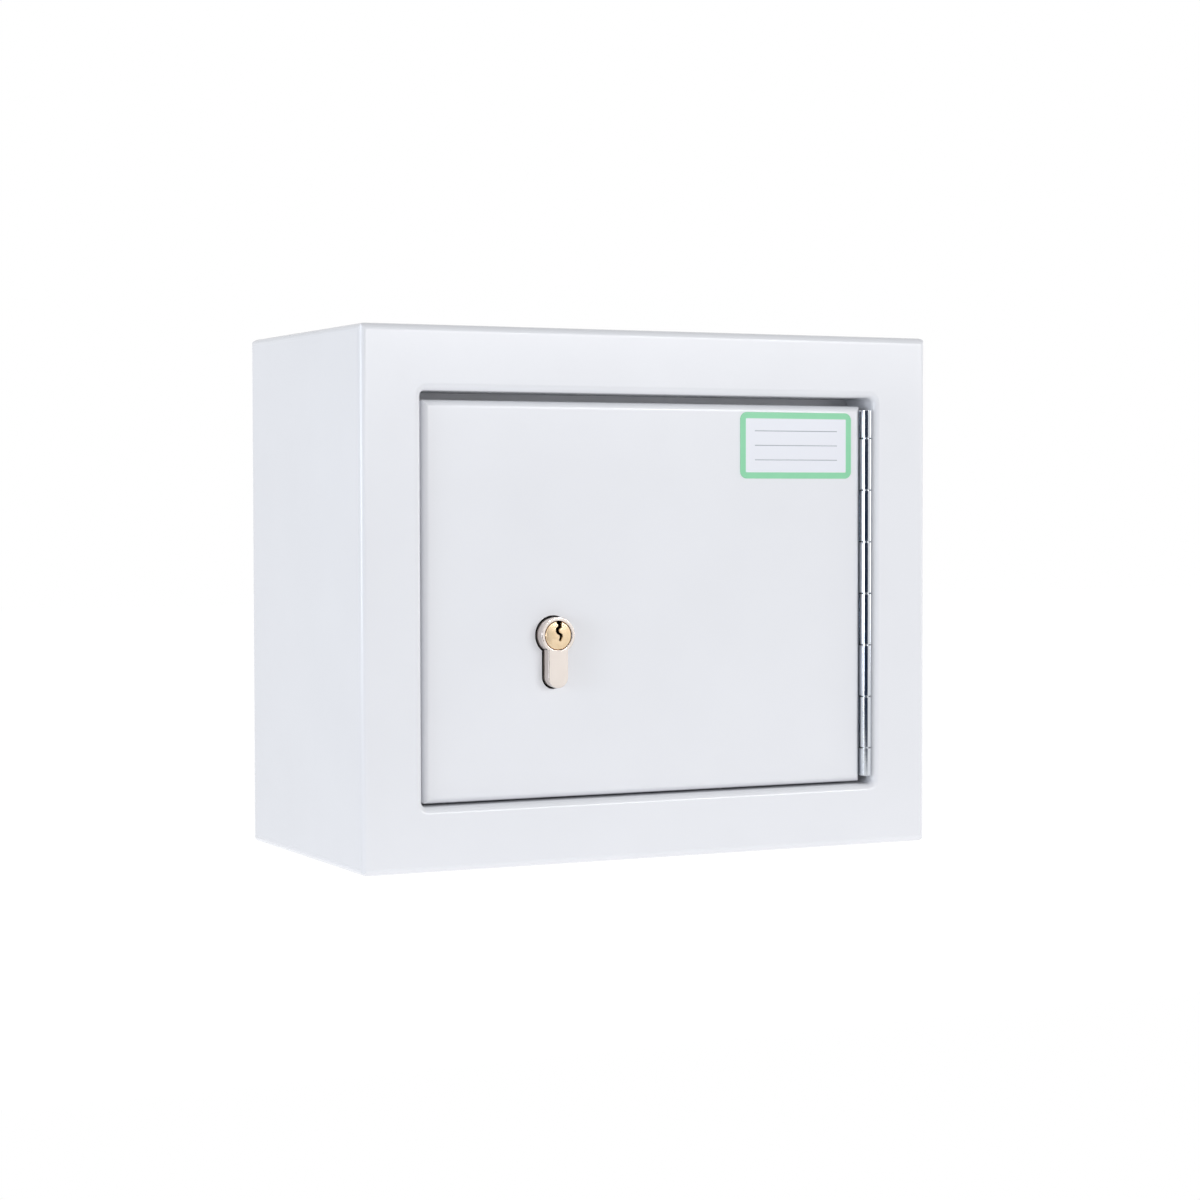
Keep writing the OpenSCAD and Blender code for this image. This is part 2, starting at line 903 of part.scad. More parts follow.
module cylinder_body() {
    slot_y0 = cam_y - cam_slot_t / 2;
    slot_y1 = cam_y + cam_slot_t / 2;
    color([0.86, 0.84, 0.82])
    difference() {
        along_y(cylinder_y0, cylinder_y1)
            cylinder_outline(0);
        rod_y(cylinder_y0 - over, slot_y0 + over, lock_x, lock_z, plug_r + plug_fit);
        rod_y(slot_y1 - over, cylinder_y1 + over, lock_x, lock_z, plug_tail_r + plug_fit);
        rod_y(slot_y0, slot_y1, lock_x, lock_z, cam_reach + cam_sweep_gap);
        for (i = [0:pin_count - 1])
            rod_z(lock_z - 30, lock_z - plug_r / 2, lock_x, pin_y(i), chamber_r);
        rod_x(lock_x - 10, lock_x + 10, cam_y, fixing_z, fixing_hole_r);
    }
}

module cylinder_fixing_screw() {
    color([0.84, 0.85, 0.87])
        translate([case_x0, cam_y, fixing_z])
            rotate([0, 90, 0])
                difference() {
                    union() {
                        cylinder(h = 2.1, r1 = fixing_r + 2.1, r2 = fixing_r);
                        cylinder(h = lock_x + 4 - case_x0, r = fixing_r);
                    }
                    for (a = [0, 90])
                        rotate([0, 0, a])
                            cube([4.4, 1, 2.4], center = true);
                }
}

module driver_pins() {
    color([0.83, 0.69, 0.40])
        for (i = [0:pin_count - 1])
            rod_z(driver_z - driver_len, driver_z, lock_x, pin_y(i), chamber_r - 0.08);
}

// Five small coil springs, each wound from a wire whose flat cut is a short arc
module pin_springs() {
    turns = 5;
    outer = chamber_r - 0.2;
    inner = outer - 0.45;
    arc = [-50, 0, 50];
    cut = concat(
        [for (a = arc) outer * [cos(a), sin(a)]],
        [for (a = arc) inner * [cos(a), -sin(a)]]
    );
    color([0.75, 0.76, 0.78])
        for (i = [0:pin_count - 1])
            translate([lock_x, pin_y(i), driver_z - driver_len - 0.1 - spring_len])
                linear_extrude(
                    height = spring_len, twist = -360 * turns, slices = 8 * turns, segments = 1
                )
                    polygon(cut);
}

module chamber_plugs() {
    color([0.83, 0.69, 0.40])
        for (i = [0:pin_count - 1])
            rod_z(
                fixing_z - stem_r + 0.7,
                fixing_z - stem_r + 0.7 + chamber_plug_t,
                lock_x,
                pin_y(i),
                chamber_r
            );
}

// The key slot: a winding slot from the rim of the plug to just below its middle
module keyway() {
    polygon([
        [-0.6, 7.4], [-0.5, 5.7], [0.3, 5.2], [0.2, 4.3], [-1.1, 3.4],
        [-1.1, 1.9], [-0.5, 0.9], [0.8, 0.1], [0.9, -0.7], [0.3, -2.3],
        [1.2, -2.5], [1.9, -0.6], [1.7, 0.6], [0.4, 1.4], [-0.1, 2.2],
        [0, 2.9], [1.1, 3.7], [1.3, 5.4], [1.6, 6.1], [1.4, 7.4]
    ]);
}

module key_plug() {
    face = cylinder_y0 - plug_proud;
    step = cam_y - cam_slot_t / 2 - face;
    tail = cylinder_y1 + plug_tail - face;
    clip = cylinder_y1 + 0.15 - face;
    groove_r = plug_tail_r - 0.8;
    color([0.85, 0.70, 0.42])
    difference() {
        union() {
            translate([lock_x, face, lock_z])
                rotate([-90, 0, 0])
                    rotate_extrude()
                        polygon([
                            [0, 0], [plug_r - 0.6, 0], [plug_r, 0.6], [plug_r, step],
                            [plug_tail_r, step], [plug_tail_r, clip], [groove_r, clip],
                            [groove_r, clip + clip_t + 0.1],
                            [plug_tail_r, clip + clip_t + 0.1],
                            [plug_tail_r, tail], [0, tail]
                        ]);
            block(
                [lock_x - 4 - drive_tongue[0], lock_x - 4],
                [cam_y - cam_slot_t / 2, cam_y + cam_t / 2],
                [lock_z - drive_tongue[1] / 2, lock_z + drive_tongue[1] / 2]
            );
        }
        along_y(face - over, face + 28)
            translate([lock_x, lock_z])
                keyway();
        for (i = [0:pin_count - 1])
            rod_z(lock_z - plug_r - over, lock_z - 0.9, lock_x, pin_y(i), chamber_r - 0.05);
    }
}

// Key pins, lifted to the shear line as the right key would hold them
module key_pins() {
    color([0.83, 0.69, 0.40])
        for (i = [0:pin_count - 1]) {
            length = 3.4 + 0.3 * (2 * i % 3);
            r = chamber_r - 0.12;
            translate([lock_x, pin_y(i), lock_z - plug_r + 0.2]) {
                cylinder(h = length, r = r);
                translate([0, 0, length])
                    cylinder(h = 0.8, r1 = r, r2 = r - 0.8);
            }
        }
}

// The cam: at rest its nose stands half the driving angle to the right of upright
module cam() {
    color([0.62, 0.63, 0.65])
        along_y(cam_y - cam_t / 2, cam_y + cam_t / 2)
            translate([lock_x, lock_z])
                difference() {
                    union() {
                        circle(cam_hub_r);
                        rotate(-drive_angle / 2)
                            intersection() {
                                circle(cam_reach);
                                translate([-cam_w / 2, 0])
                                    square([cam_w, cam_reach]);
                            }
                    }
                    circle(plug_tail_r + 0.02);
                    translate([-4.1 - drive_tongue[0], -drive_tongue[1] / 2 - 0.05])
                        square([drive_tongue[0], drive_tongue[1] + 0.1]);
                }
}

module plug_clip() {
    color([0.70, 0.71, 0.73])
        along_y(cylinder_y1 + 0.2, cylinder_y1 + 0.2 + clip_t)
            translate([lock_x, lock_z])
                difference() {
                    circle(plug_tail_r + 1.5);
                    circle(plug_tail_r - 0.75);
                    translate([-1.5, -2 * plug_tail_r])
                        square([3, 2 * plug_tail_r]);
                }
}

// ---- Dead bolt ----

module dead_bolt() {
    head_y = [cam_y - bolt_t / 2, cam_y + bolt_t / 2];
    color([0.80, 0.81, 0.83])
    difference() {
        union() {
            block([case_x0, case_x0 + bolt_head_len], head_y, [bolt_z0, bolt_z0 + bolt_h]);
            block(
                [case_x0 + bolt_head_len - over, tail_x1],
                [cam_y - bolt_tail_t / 2, cam_y + bolt_tail_t / 2],
                [bolt_z0, bolt_z0 + bolt_tail_h]
            );
        }
        block(
            [tail_x1 - tail_end - notch_w, tail_x1 - tail_end],
            [cam_y - bolt_t, cam_y + bolt_t],
            [bolt_z0 - over, notch_top]
        );
        along_y(cam_y - bolt_t, cam_y + bolt_t) {
            r = post_r + slide_gap;
            for (x = [post_x, post_x + bolt_throw])
                translate([x, post_z])
                    circle(r);
            translate([post_x, post_z - r])
                square([bolt_throw, 2 * r]);
        }
    }
}

body_shell();
back_panel();
anchor_plate();
upper_stop_bar();
lower_stop_bar();
door_buffers();
bolt_keep();
hinge_frame_leaf();
hinge_pin();
frame_leaf_rivets();
shelf();
left_shelf_bracket();
right_shelf_bracket();
door_panel();
door_inner_tray();
lock_guard_plate();
hinge_door_leaf();
door_leaf_rivets();
label();
lock_case();
lock_cover();
lock_spacers();
lock_fixing_screws();
weld_nuts();
bolt_guide_post();
bolt_brake_spring();
cylinder_body();
cylinder_fixing_screw();
driver_pins();
pin_springs();
chamber_plugs();
key_plug();
key_pins();
cam();
plug_clip();
dead_bolt();
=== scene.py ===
# %% [markdown]
# # A lockable steel medicine cabinet
# The cabinet is folded and welded from 2 mm sheet, sprayed with white powder and baked. Its door
# hangs on a piano hinge and is held by a profile cylinder with a brass plug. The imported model
# gives every piece its size and place, in metres. This lesson gives the pieces their surfaces,
# and makes again those whose edges, rolls and turned faces catch the light.

# %% Load the frame and keep its box
import json
import math

import bmesh
import bpy
from mathutils import Matrix, Vector


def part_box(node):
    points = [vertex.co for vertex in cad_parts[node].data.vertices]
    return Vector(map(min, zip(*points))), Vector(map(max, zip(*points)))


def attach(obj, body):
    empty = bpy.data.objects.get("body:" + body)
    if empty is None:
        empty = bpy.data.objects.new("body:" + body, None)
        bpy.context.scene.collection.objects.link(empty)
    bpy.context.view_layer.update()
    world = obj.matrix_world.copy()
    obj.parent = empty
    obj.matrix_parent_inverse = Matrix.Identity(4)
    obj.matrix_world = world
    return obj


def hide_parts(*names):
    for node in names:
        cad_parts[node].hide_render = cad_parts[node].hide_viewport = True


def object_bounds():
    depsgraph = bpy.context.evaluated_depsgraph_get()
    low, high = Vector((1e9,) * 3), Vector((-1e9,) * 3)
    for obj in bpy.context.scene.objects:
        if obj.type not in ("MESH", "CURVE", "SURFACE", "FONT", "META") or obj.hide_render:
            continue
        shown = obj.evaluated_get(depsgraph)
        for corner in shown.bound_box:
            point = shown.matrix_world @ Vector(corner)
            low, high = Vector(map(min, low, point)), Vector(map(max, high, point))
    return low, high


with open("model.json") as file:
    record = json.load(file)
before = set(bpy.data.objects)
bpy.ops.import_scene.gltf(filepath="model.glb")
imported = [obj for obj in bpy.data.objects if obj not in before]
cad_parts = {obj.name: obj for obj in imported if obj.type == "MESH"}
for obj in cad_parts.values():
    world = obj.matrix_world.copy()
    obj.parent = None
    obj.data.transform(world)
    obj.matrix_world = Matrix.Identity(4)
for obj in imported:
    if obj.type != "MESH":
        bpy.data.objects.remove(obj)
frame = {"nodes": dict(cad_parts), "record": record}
cad_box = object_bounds()
MM = 0.001
print("cabinet, in mm:", [round(side / MM, 1) for side in cad_box[1] - cad_box[0]])

# %% [markdown]
# ## Helpers for nodes, colours and objects
# Every finish and every repeated shape below is a node tree. One helper adds a node: its settings
# are keyword arguments, and its inputs are given by name or number, as a value, a socket or
# another node, whose first output is then linked. Colours are written as a paint shop writes
# them, in sRGB hex, and one function turns them into the linear values that Blender mixes. The
# last one puts an object into the scene.

# %% Helpers for nodes, colours and objects
def feed(node, inputs):
    """Sets inputs of a node to values, or links them to sockets or to nodes' first outputs."""
    for key, value in inputs.items():
        if isinstance(value, bpy.types.Node):
            value = next(socket for socket in value.outputs if socket.enabled)
        if isinstance(value, bpy.types.NodeSocket):
            node.id_data.links.new(value, node.inputs[key])
        else:
            node.inputs[key].default_value = value


def add(tree, kind, inputs=None, **settings):
    """Adds a node of that kind to the tree, with its settings and its inputs."""
    node = tree.nodes.new(kind)
    for setting, value in settings.items():
        setattr(node, setting, value)
    feed(node, inputs or {})
    return node


def srgb(code):
    """Turns an sRGB hex colour into linear red, green, blue and alpha."""
    parts = [int(code[i : i + 2], 16) / 255 for i in (1, 3, 5)]
    linear = [c / 12.92 if c <= 0.04045 else ((c + 0.055) / 1.055) ** 2.4 for c in parts]
    return (*linear, 1.0)


def put(name, data):
    """Puts an object with this lens, light, curve or mesh into the scene."""
    thing = bpy.data.objects.new(name, data)
    bpy.context.scene.collection.objects.link(thing)
    return thing


print("mid grey #808080 is", round(srgb("#808080")[0], 3), "in linear light")

# %% [markdown]
# ## The camera
# A portrait of a small cabinet is taken from about 1.4 m away, a little above its middle and
# from its left, so that the front and the left side show. A lens of about 83 mm keeps the
# verticals parallel. The camera is turned by three angles: yaw about the vertical, pitch below
# the horizon, and a roll of a tenth of a degree.

# %% Place the camera
CAMERA_PLACE = Vector((-0.597235, -1.307673, 0.044472))
CABINET_MIDDLE = Vector((0, -0.075, 0))
FOCAL_MM, SENSOR_MM = 82.561, 36.0
YAW, PITCH, ROLL = (math.radians(angle) for angle in (26.095, 2.052, -0.094))
forward = Vector(
    (math.sin(YAW) * math.cos(PITCH), math.cos(YAW) * math.cos(PITCH), -math.sin(PITCH))
)
level = Vector((math.cos(YAW), -math.sin(YAW), 0))
upright = level.cross(forward)
across = level * math.cos(ROLL) + upright * math.sin(ROLL)
upward = upright * math.cos(ROLL) - level * math.sin(ROLL)

lens = bpy.data.cameras.new("camera")
lens.lens, lens.sensor_width = FOCAL_MM, SENSOR_MM
camera = put("camera", lens)
camera.matrix_world = Matrix.Translation(CAMERA_PLACE) @ Matrix(
    (across, upward, -forward)
).transposed().to_4x4()
bpy.context.scene.camera = camera
print("camera to the cabinet's middle:", round((CAMERA_PLACE - CABINET_MIDDLE).length, 3), "m")

# %% [markdown]
# ## A white studio
# White steel on a white ground is lit by soft sources, so that one face differs from the next by
# a few steps of grey only. The world is white wherever it is seen or mirrored. Where it lights a
# matt surface it is weaker, and weakest from above and below, which leaves room for three lamps.
# The low, wide one at the front right is the strongest: it stands a little above the door, so it
# draws a bright line along each bend that turns up. The one on the left lights the side of the
# cabinet and its front left edge. The one far on the right lights the bends that turn that way.

# %% World
# How strongly the world lights, and the rises (as a sine) between which it changes
SKY_LEVEL, SKY_HIGH = 0.66, 0.46
LEVEL_UP_TO, HIGH_FROM = 0.2, 0.4
bpy.context.scene.view_settings.view_transform = "Standard"
world = bpy.data.worlds.new("studio")
bpy.context.scene.world = world
world.use_nodes = True
sky = world.node_tree
sky.nodes.clear()


def seen_or_mirrored(tree):
    """Is 1 for a ray from the camera and for one that metal or glass sends on."""
    path = add(tree, "ShaderNodeLightPath")
    pair = add(
        tree, "ShaderNodeMath",
        {0: path.outputs["Is Camera Ray"], 1: path.outputs["Is Glossy Ray"]}, operation="ADD",
    )
    return add(
        tree, "ShaderNodeMath",
        {0: pair, 1: path.outputs["Is Transmission Ray"]}, operation="ADD", use_clamp=True,
    )


direction = add(sky, "ShaderNodeTexCoord").outputs["Generated"]
rise = add(sky, "ShaderNodeSeparateXYZ", {0: direction}).outputs["Z"]
off_level = add(sky, "ShaderNodeMath", {0: rise}, operation="ABSOLUTE")
sky_power = add(
    sky, "ShaderNodeMapRange",
    {
        "Value": off_level, "From Min": LEVEL_UP_TO, "From Max": HIGH_FROM,
        "To Min": SKY_LEVEL, "To Max": SKY_HIGH,
    },
)
white_room = add(sky, "ShaderNodeBackground", {"Color": srgb("#FFFFFF"), "Strength": 1.0})
soft_light = add(sky, "ShaderNodeBackground", {"Color": srgb("#FCFDFF"), "Strength": sky_power})
sky_mix = add(
    sky, "ShaderNodeMixShader", {0: seen_or_mirrored(sky), 1: soft_light, 2: white_room}
)
add(sky, "ShaderNodeOutputWorld", {"Surface": sky_mix})
print("the world lights matt surfaces at", SKY_LEVEL, "near the level and", SKY_HIGH, "from above")


# %% Lamps
def soft_lamp(name, place, width, height, watts, tint="#FFFFFF"):
    """A soft light of that width and height in metres that faces the cabinet's middle."""
    light = bpy.data.lights.new(name, "AREA")
    light.shape, light.size, light.size_y, light.energy = "RECTANGLE", width, height, watts
    light.color = srgb(tint)[:3]
    lamp = put(name, light)
    lamp.location = place
    towards = CABINET_MIDDLE - Vector(place)
    lamp.rotation_euler = towards.to_track_quat("-Z", "Y").to_euler()
    print(name, "of", watts, "W stands", round(towards.length, 2), "m away")


soft_lamp("lamp_left", (-1.6, -0.6, 0.0), 0.5, 0.6, 8.2, "#EAF3FF")
soft_lamp("lamp_right", (1.95, -0.5, 0.05), 0.35, 0.8, 3.0)
soft_lamp("lamp_upper", (1.03, -2.15, 0.46), 1.2, 0.2, 13.0)

# %% [markdown]
# ## Floor and flag
# The floor is a matt white sheet under the cabinet, lit from below as well, as on a product
# table: that fills the bends and edges that turn down. Most of what the camera sees of it glows
# plain white, and the rest is lit, so the shadow stays as a faint grey. A flag is a dark cloth
# that a photographer hangs in front of shiny metal: without it, chrome and zinc among white
# walls look like white plastic. This one is navy felt, bent round the front left of the cabinet,
# behind the camera. It is seen by mirror-like rays only, and casts no shadow.

# %% Floor and flag
# Sizes in metres; the flag's ends are in degrees to the right of straight before the door
REACH, FLOOR_FRONT = 3.0, -0.55
FLOOR_GLOW, FLOOR_FILL, GLOW_POWER = 0.8, 0.65, 1.16
FLAG_AWAY, FLAG_LOW, FLAG_HIGH = 3.9, -0.75, 0.5
FLAG_LEFT, FLAG_RIGHT, FOLDS = -58, 15, 12


def sheet(name, corners, faces):
    """A thin sheet with those corners; each face lists the numbers of its own corners."""
    mesh = bpy.data.meshes.new(name)
    mesh.from_pydata(corners, [], faces)
    return put(name, mesh)


floor_z = cad_box[0].z
rim = ((-REACH, FLOOR_FRONT), (REACH, FLOOR_FRONT), (REACH, REACH), (-REACH, REACH))
floor = sheet("floor", [(x, y, floor_z) for x, y in rim], [(0, 1, 2, 3)])
paper = bpy.data.materials.new("Matt white floor")
paper.use_nodes = True
tree = paper.node_tree
tree.nodes.clear()
share = add(
    tree, "ShaderNodeMapRange",
    {"Value": seen_or_mirrored(tree), "To Min": FLOOR_FILL, "To Max": FLOOR_GLOW},
)
lit = add(tree, "ShaderNodeBsdfDiffuse", {"Color": srgb("#E6E7EA")})
glow = add(tree, "ShaderNodeEmission", {"Color": srgb("#FFFFFF"), "Strength": GLOW_POWER})
floor_mix = add(tree, "ShaderNodeMixShader", {0: share, 1: lit, 2: glow})
add(tree, "ShaderNodeOutputMaterial", {"Surface": floor_mix})
floor.data.materials.append(paper)

flag_turn = FLAG_RIGHT - FLAG_LEFT
bearings = [math.radians(FLAG_LEFT + flag_turn * i / FOLDS) for i in range(FOLDS + 1)]
foot = [(FLAG_AWAY * math.sin(bearing), -FLAG_AWAY * math.cos(bearing)) for bearing in bearings]
flag = sheet(
    "flag",
    [(x, y, z) for z in (FLAG_LOW, FLAG_HIGH) for x, y in foot],
    [(i, i + 1, FOLDS + i + 2, FOLDS + i + 1) for i in range(FOLDS)],
)
felt = bpy.data.materials.new("Dark felt")
felt.use_nodes = True
felt_shader = felt.node_tree.nodes["Principled BSDF"]
feed(felt_shader, {"Base Color": srgb("#08284A"), "Roughness": 1.0})
flag.data.materials.append(felt)
flag.visible_camera = flag.visible_diffuse = False
flag.visible_shadow = flag.visible_transmission = False
print("floor at", round(floor_z / MM, 1), "mm, flag bent through", flag_turn, "degrees")

# %% [markdown]
# ## Starting a finish
# Each finish is a Principled shader with nodes for its pattern. Patterns read Object coordinates,
# which are metres in the cabinet's own frame, so a pattern size is written in millimetres and
# turned into a scale: one over the size in metres. All finishes end alike: a colour, a relief,
# and a roughness that varies over a pattern, so one helper links the three.

# %% Helpers for finishes
def new_finish(name, **values):
    """A material with a Principled shader set to these values: gives it and its tree."""
    finish = bpy.data.materials.new(name)
    finish.use_nodes = True
    tree = finish.node_tree
    tree.nodes.clear()
    settings = {socket.replace("_", " "): value for socket, value in values.items()}
    shader = add(tree, "ShaderNodeBsdfPrincipled", settings)
    add(tree, "ShaderNodeOutputMaterial", {"Surface": shader})
    return finish, tree


def grain(tree, size_mm, stretch=(1, 1, 1), detail=2.0):
    """Noise whose grains are size_mm across, drawn out along an axis where stretch is over 1."""
    place = add(tree, "ShaderNodeTexCoord").outputs["Object"]
    scale = [1 / (size_mm * MM * s) for s in stretch]
    spread = add(tree, "ShaderNodeMapping", {"Vector": place, "Scale": scale})
    return add(tree, "ShaderNodeTexNoise", {"Vector": spread, "Scale": 1.0, "Detail": detail})


def mottled(tree, size_mm, one, other, detail=2.0):
    """A colour that drifts between two tints, in patches of size_mm."""
    tints = {0: grain(tree, size_mm, detail=detail), 6: srgb(one), 7: srgb(other)}
    return add(tree, "ShaderNodeMix", tints, data_type="RGBA").outputs[2]


def skin(finish, colour, relief, depth_mm, gloss=None):
    """Links a finish's colour, its relief of that depth and, if given, its gloss.

    The gloss is a pattern, then the roughness where the pattern is 0 and where it is 1."""
    tree = finish.node_tree
    heights = {"Height": relief, "Strength": 1.0, "Distance": depth_mm * MM}
    inputs = {"Base Color": colour, "Normal": add(tree, "ShaderNodeBump", heights)}
    if gloss:
        spread = dict(zip(("Value", "To Min", "To Max"), gloss))
        inputs["Roughness"] = add(tree, "ShaderNodeMapRange", spread)
    feed(tree.nodes["Principled BSDF"], inputs)
    print("finish:", finish.name.lower(), "with", len(tree.nodes), "nodes")


# %% [markdown]
# ## White powder coat
# Polyester powder is sprayed dry on the steel and melted in an oven. It flows into a thick,
# tough, semi-gloss skin with a faint orange peel: waves about 2 mm long and a few thousandths of
# a millimetre deep. It hides the metal wholly, so it is a plain dielectric with an IOR of 1.5. The
# colour and the gloss drift a little across a panel, as film thickness does.

# %% Powder coat
powder_coat, tree = new_finish("White powder coat, semi-gloss", IOR=1.5)
skin(
    powder_coat, mottled(tree, 45.0, "#E7E8EC", "#ECEDF1"),
    grain(tree, 1.9, detail=1.0), 0.010, gloss=(grain(tree, 18.0), 0.19, 0.25),
)

# %% [markdown]
# ## Bright zinc plate
# Hinge strip, pin and screws are cold-rolled steel, plated with a few thousandths of zinc and
# passivated blue. The plate copies the rolling lines of the strip, which run along it, and its
# passivation gives a cold tint. The real lines lie closer than a tenth of a millimetre, too fine
# to show, so they are drawn 0.25 mm apart. Zinc is a metal: metallic 1, and the default IOR.

# %% Zinc plate
zinc_plate, tree = new_finish("Bright zinc plate on rolled steel", Metallic=1.0)
rolling = grain(tree, 0.25, stretch=(1, 1, 60), detail=3.0)
skin(
    zinc_plate, mottled(tree, 9.0, "#C9CED6", "#DADDE0"),
    rolling, 0.0015, gloss=(rolling, 0.07, 0.18),
)

# %% [markdown]
# ## Satin nickel
# The cylinder is extruded brass, ground along its length, plated with nickel and left satin. The
# warm white is nickel's own colour. The grinding lines run along the cylinder and are drawn
# 0.3 mm apart, coarser than they are; across its face they are too fine to show, so the face is
# only satin. Where it passes through the door, a band 8 mm deep is painted near black: painted
# shade, for the narrow gap round it that lies in shadow. The lock case is steel with the same
# plate, greyer and duller.

# %% Satin nickel on brass, and on steel
# Painted shade: a band of the cylinder in the door's thickness, where the gap round it lies in
# shadow
SHADE_BAND_HALF, SHADE_BAND_FADE, SHADE_BAND_END = 4 * MM, 0.7 * MM, 0.1 * MM
satin_nickel, tree = new_finish("Satin nickel plate on brass", Metallic=1.0)
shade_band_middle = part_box("door_panel")[0].y + SHADE_BAND_HALF
place = add(tree, "ShaderNodeTexCoord").outputs["Object"]
depth = add(tree, "ShaderNodeSeparateXYZ", {0: place}).outputs["Y"]
off_middle = add(tree, "ShaderNodeMath", {0: depth, 1: shade_band_middle}, operation="SUBTRACT")
off_middle = add(tree, "ShaderNodeMath", {0: off_middle}, operation="ABSOLUTE")
in_painted_shade = add(
    tree, "ShaderNodeMapRange",
    {
        "Value": off_middle, "From Min": SHADE_BAND_HALF - SHADE_BAND_FADE, "From Max": SHADE_BAND_HALF - SHADE_BAND_END,
        "To Min": 1.0, "To Max": 0.0,
    },
)
plated = mottled(tree, 6.0, "#E0D6CF", "#EAE1DA")
# Painted shade: the band is coloured near black over the plated nickel
with_painted_shade = add(tree, "ShaderNodeMix", {0: in_painted_shade, 6: plated, 7: srgb("#2A2521")}, data_type="RGBA")
ground = grain(tree, 0.30, stretch=(1, 40, 1), detail=3.0)
skin(satin_nickel, with_painted_shade.outputs[2], ground, 0.002, gloss=(ground, 0.14, 0.22))

nickel_steel, tree = new_finish("Satin nickel plate on steel", Metallic=1.0)
ground = grain(tree, 0.35, stretch=(50, 1, 1), detail=3.0)
skin(
    nickel_steel, mottled(tree, 8.0, "#C4C2BF", "#D3D1CE"),
    ground, 0.002, gloss=(ground, 0.24, 0.38),
)

# %% [markdown]
# ## Turned brass
# The plug is turned on a lathe from brass bar and polished. The tool leaves rings round its axis,
# a few hundredths of a millimetre apart. They are too fine to show, so they are drawn 0.35 mm
# apart here, and shallow: what the eye gets is the fan-shaped gleam that crosses a turned face.
# Its rim is painted dark brown: painted shade, where the chamfer meets the cylinder.

# %% Turned brass
LOCK_X, LOCK_Z = -52.7 * MM, -17.8 * MM
RING_MM, SHADED_RIM, RIM_FADE = 0.35, 6.6 * MM, 0.2 * MM
# At scale 1 a wave texture repeats every pi / 10 metres
RING_SCALE = 1 / (RING_MM * MM) * math.pi / 10
brass, tree = new_finish("Turned and polished brass", Metallic=1.0)
place = add(tree, "ShaderNodeTexCoord").outputs["Object"]
centred = add(
    tree, "ShaderNodeMapping", {"Vector": place, "Location": (-LOCK_X, 0, -LOCK_Z)}
)
rings = add(
    tree, "ShaderNodeTexWave",
    {"Vector": centred, "Scale": RING_SCALE, "Distortion": 1.2, "Detail": 2.0},
    wave_type="RINGS", rings_direction="Y",
)
flat = add(tree, "ShaderNodeVectorMath", {0: centred, 1: (1, 0, 1)}, operation="MULTIPLY")
from_axis = add(tree, "ShaderNodeVectorMath", {0: flat}, operation="LENGTH").outputs["Value"]
at_rim = add(
    tree, "ShaderNodeMapRange",
    {"Value": from_axis, "From Min": SHADED_RIM - RIM_FADE, "From Max": SHADED_RIM},
)
polished = mottled(tree, 3.0, "#E0C49D", "#F0DABB")
# Painted shade: the plug's outer rim is coloured dark brown
with_painted_shade = add(tree, "ShaderNodeMix", {0: at_rim, 6: polished, 7: srgb("#8A6238")}, data_type="RGBA")
skin(brass, with_painted_shade.outputs[2], rings, 0.005, gloss=(rings, 0.12, 0.24))

# %% [markdown]
# ## Aluminium, hardened steel, spring steel
# Blind rivets are soft aluminium, dull from forming. The guard plate, post, nuts and cam are
# hardened steel, blackened in a hot salt bath and oiled, so they are nearly black and faintly
# mottled. Springs and clips are blue-grey rolled spring steel, its lines drawn 0.3 mm apart.

# %% Aluminium and steels
aluminium, tree = new_finish("Plain formed aluminium", Metallic=1.0)
skin(
    aluminium, mottled(tree, 1.2, "#B9BBBE", "#D0D2D4"),
    grain(tree, 0.4), 0.006, gloss=(grain(tree, 0.5), 0.30, 0.46),
)
hard_steel, tree = new_finish("Blackened and oiled hardened steel", Metallic=1.0)
skin(
    hard_steel, mottled(tree, 5.0, "#232427", "#37383B", detail=4.0),
    grain(tree, 0.6), 0.004, gloss=(grain(tree, 2.0), 0.28, 0.48),
)
spring_steel, tree = new_finish("Rolled spring steel", Metallic=1.0)
rolling = grain(tree, 0.3, stretch=(30, 1, 1))
skin(
    spring_steel, mottled(tree, 4.0, "#8C9199", "#A8ACB2"),
    rolling, 0.002, gloss=(rolling, 0.22, 0.36),
)

# %% [markdown]
# ## Pale rubber
# The buffers are moulded rubber of the pale grey, non-marking kind: matt, with the fine grain of
# the mould and a slight bloom.

# %% Rubber
rubber, tree = new_finish("Moulded pale grey rubber", IOR=1.52)
skin(
    rubber, mottled(tree, 2.5, "#B4B6B9", "#C6C8CA", detail=4.0),
    grain(tree, 0.35), 0.012, gloss=(grain(tree, 1.0), 0.62, 0.82),
)

# %% [markdown]
# ## Printed label film
# The label is a white vinyl film, printed and clear-laminated, stuck flat on the door. A green
# border 3 mm wide follows its rounded edge. The field holds three ruled lines to write on, and no
# words. The border is drawn with the distance to a rounded rectangle: how far a point lies
# outside the straight core, less the corner radius, is zero on the edge and negative inside it.

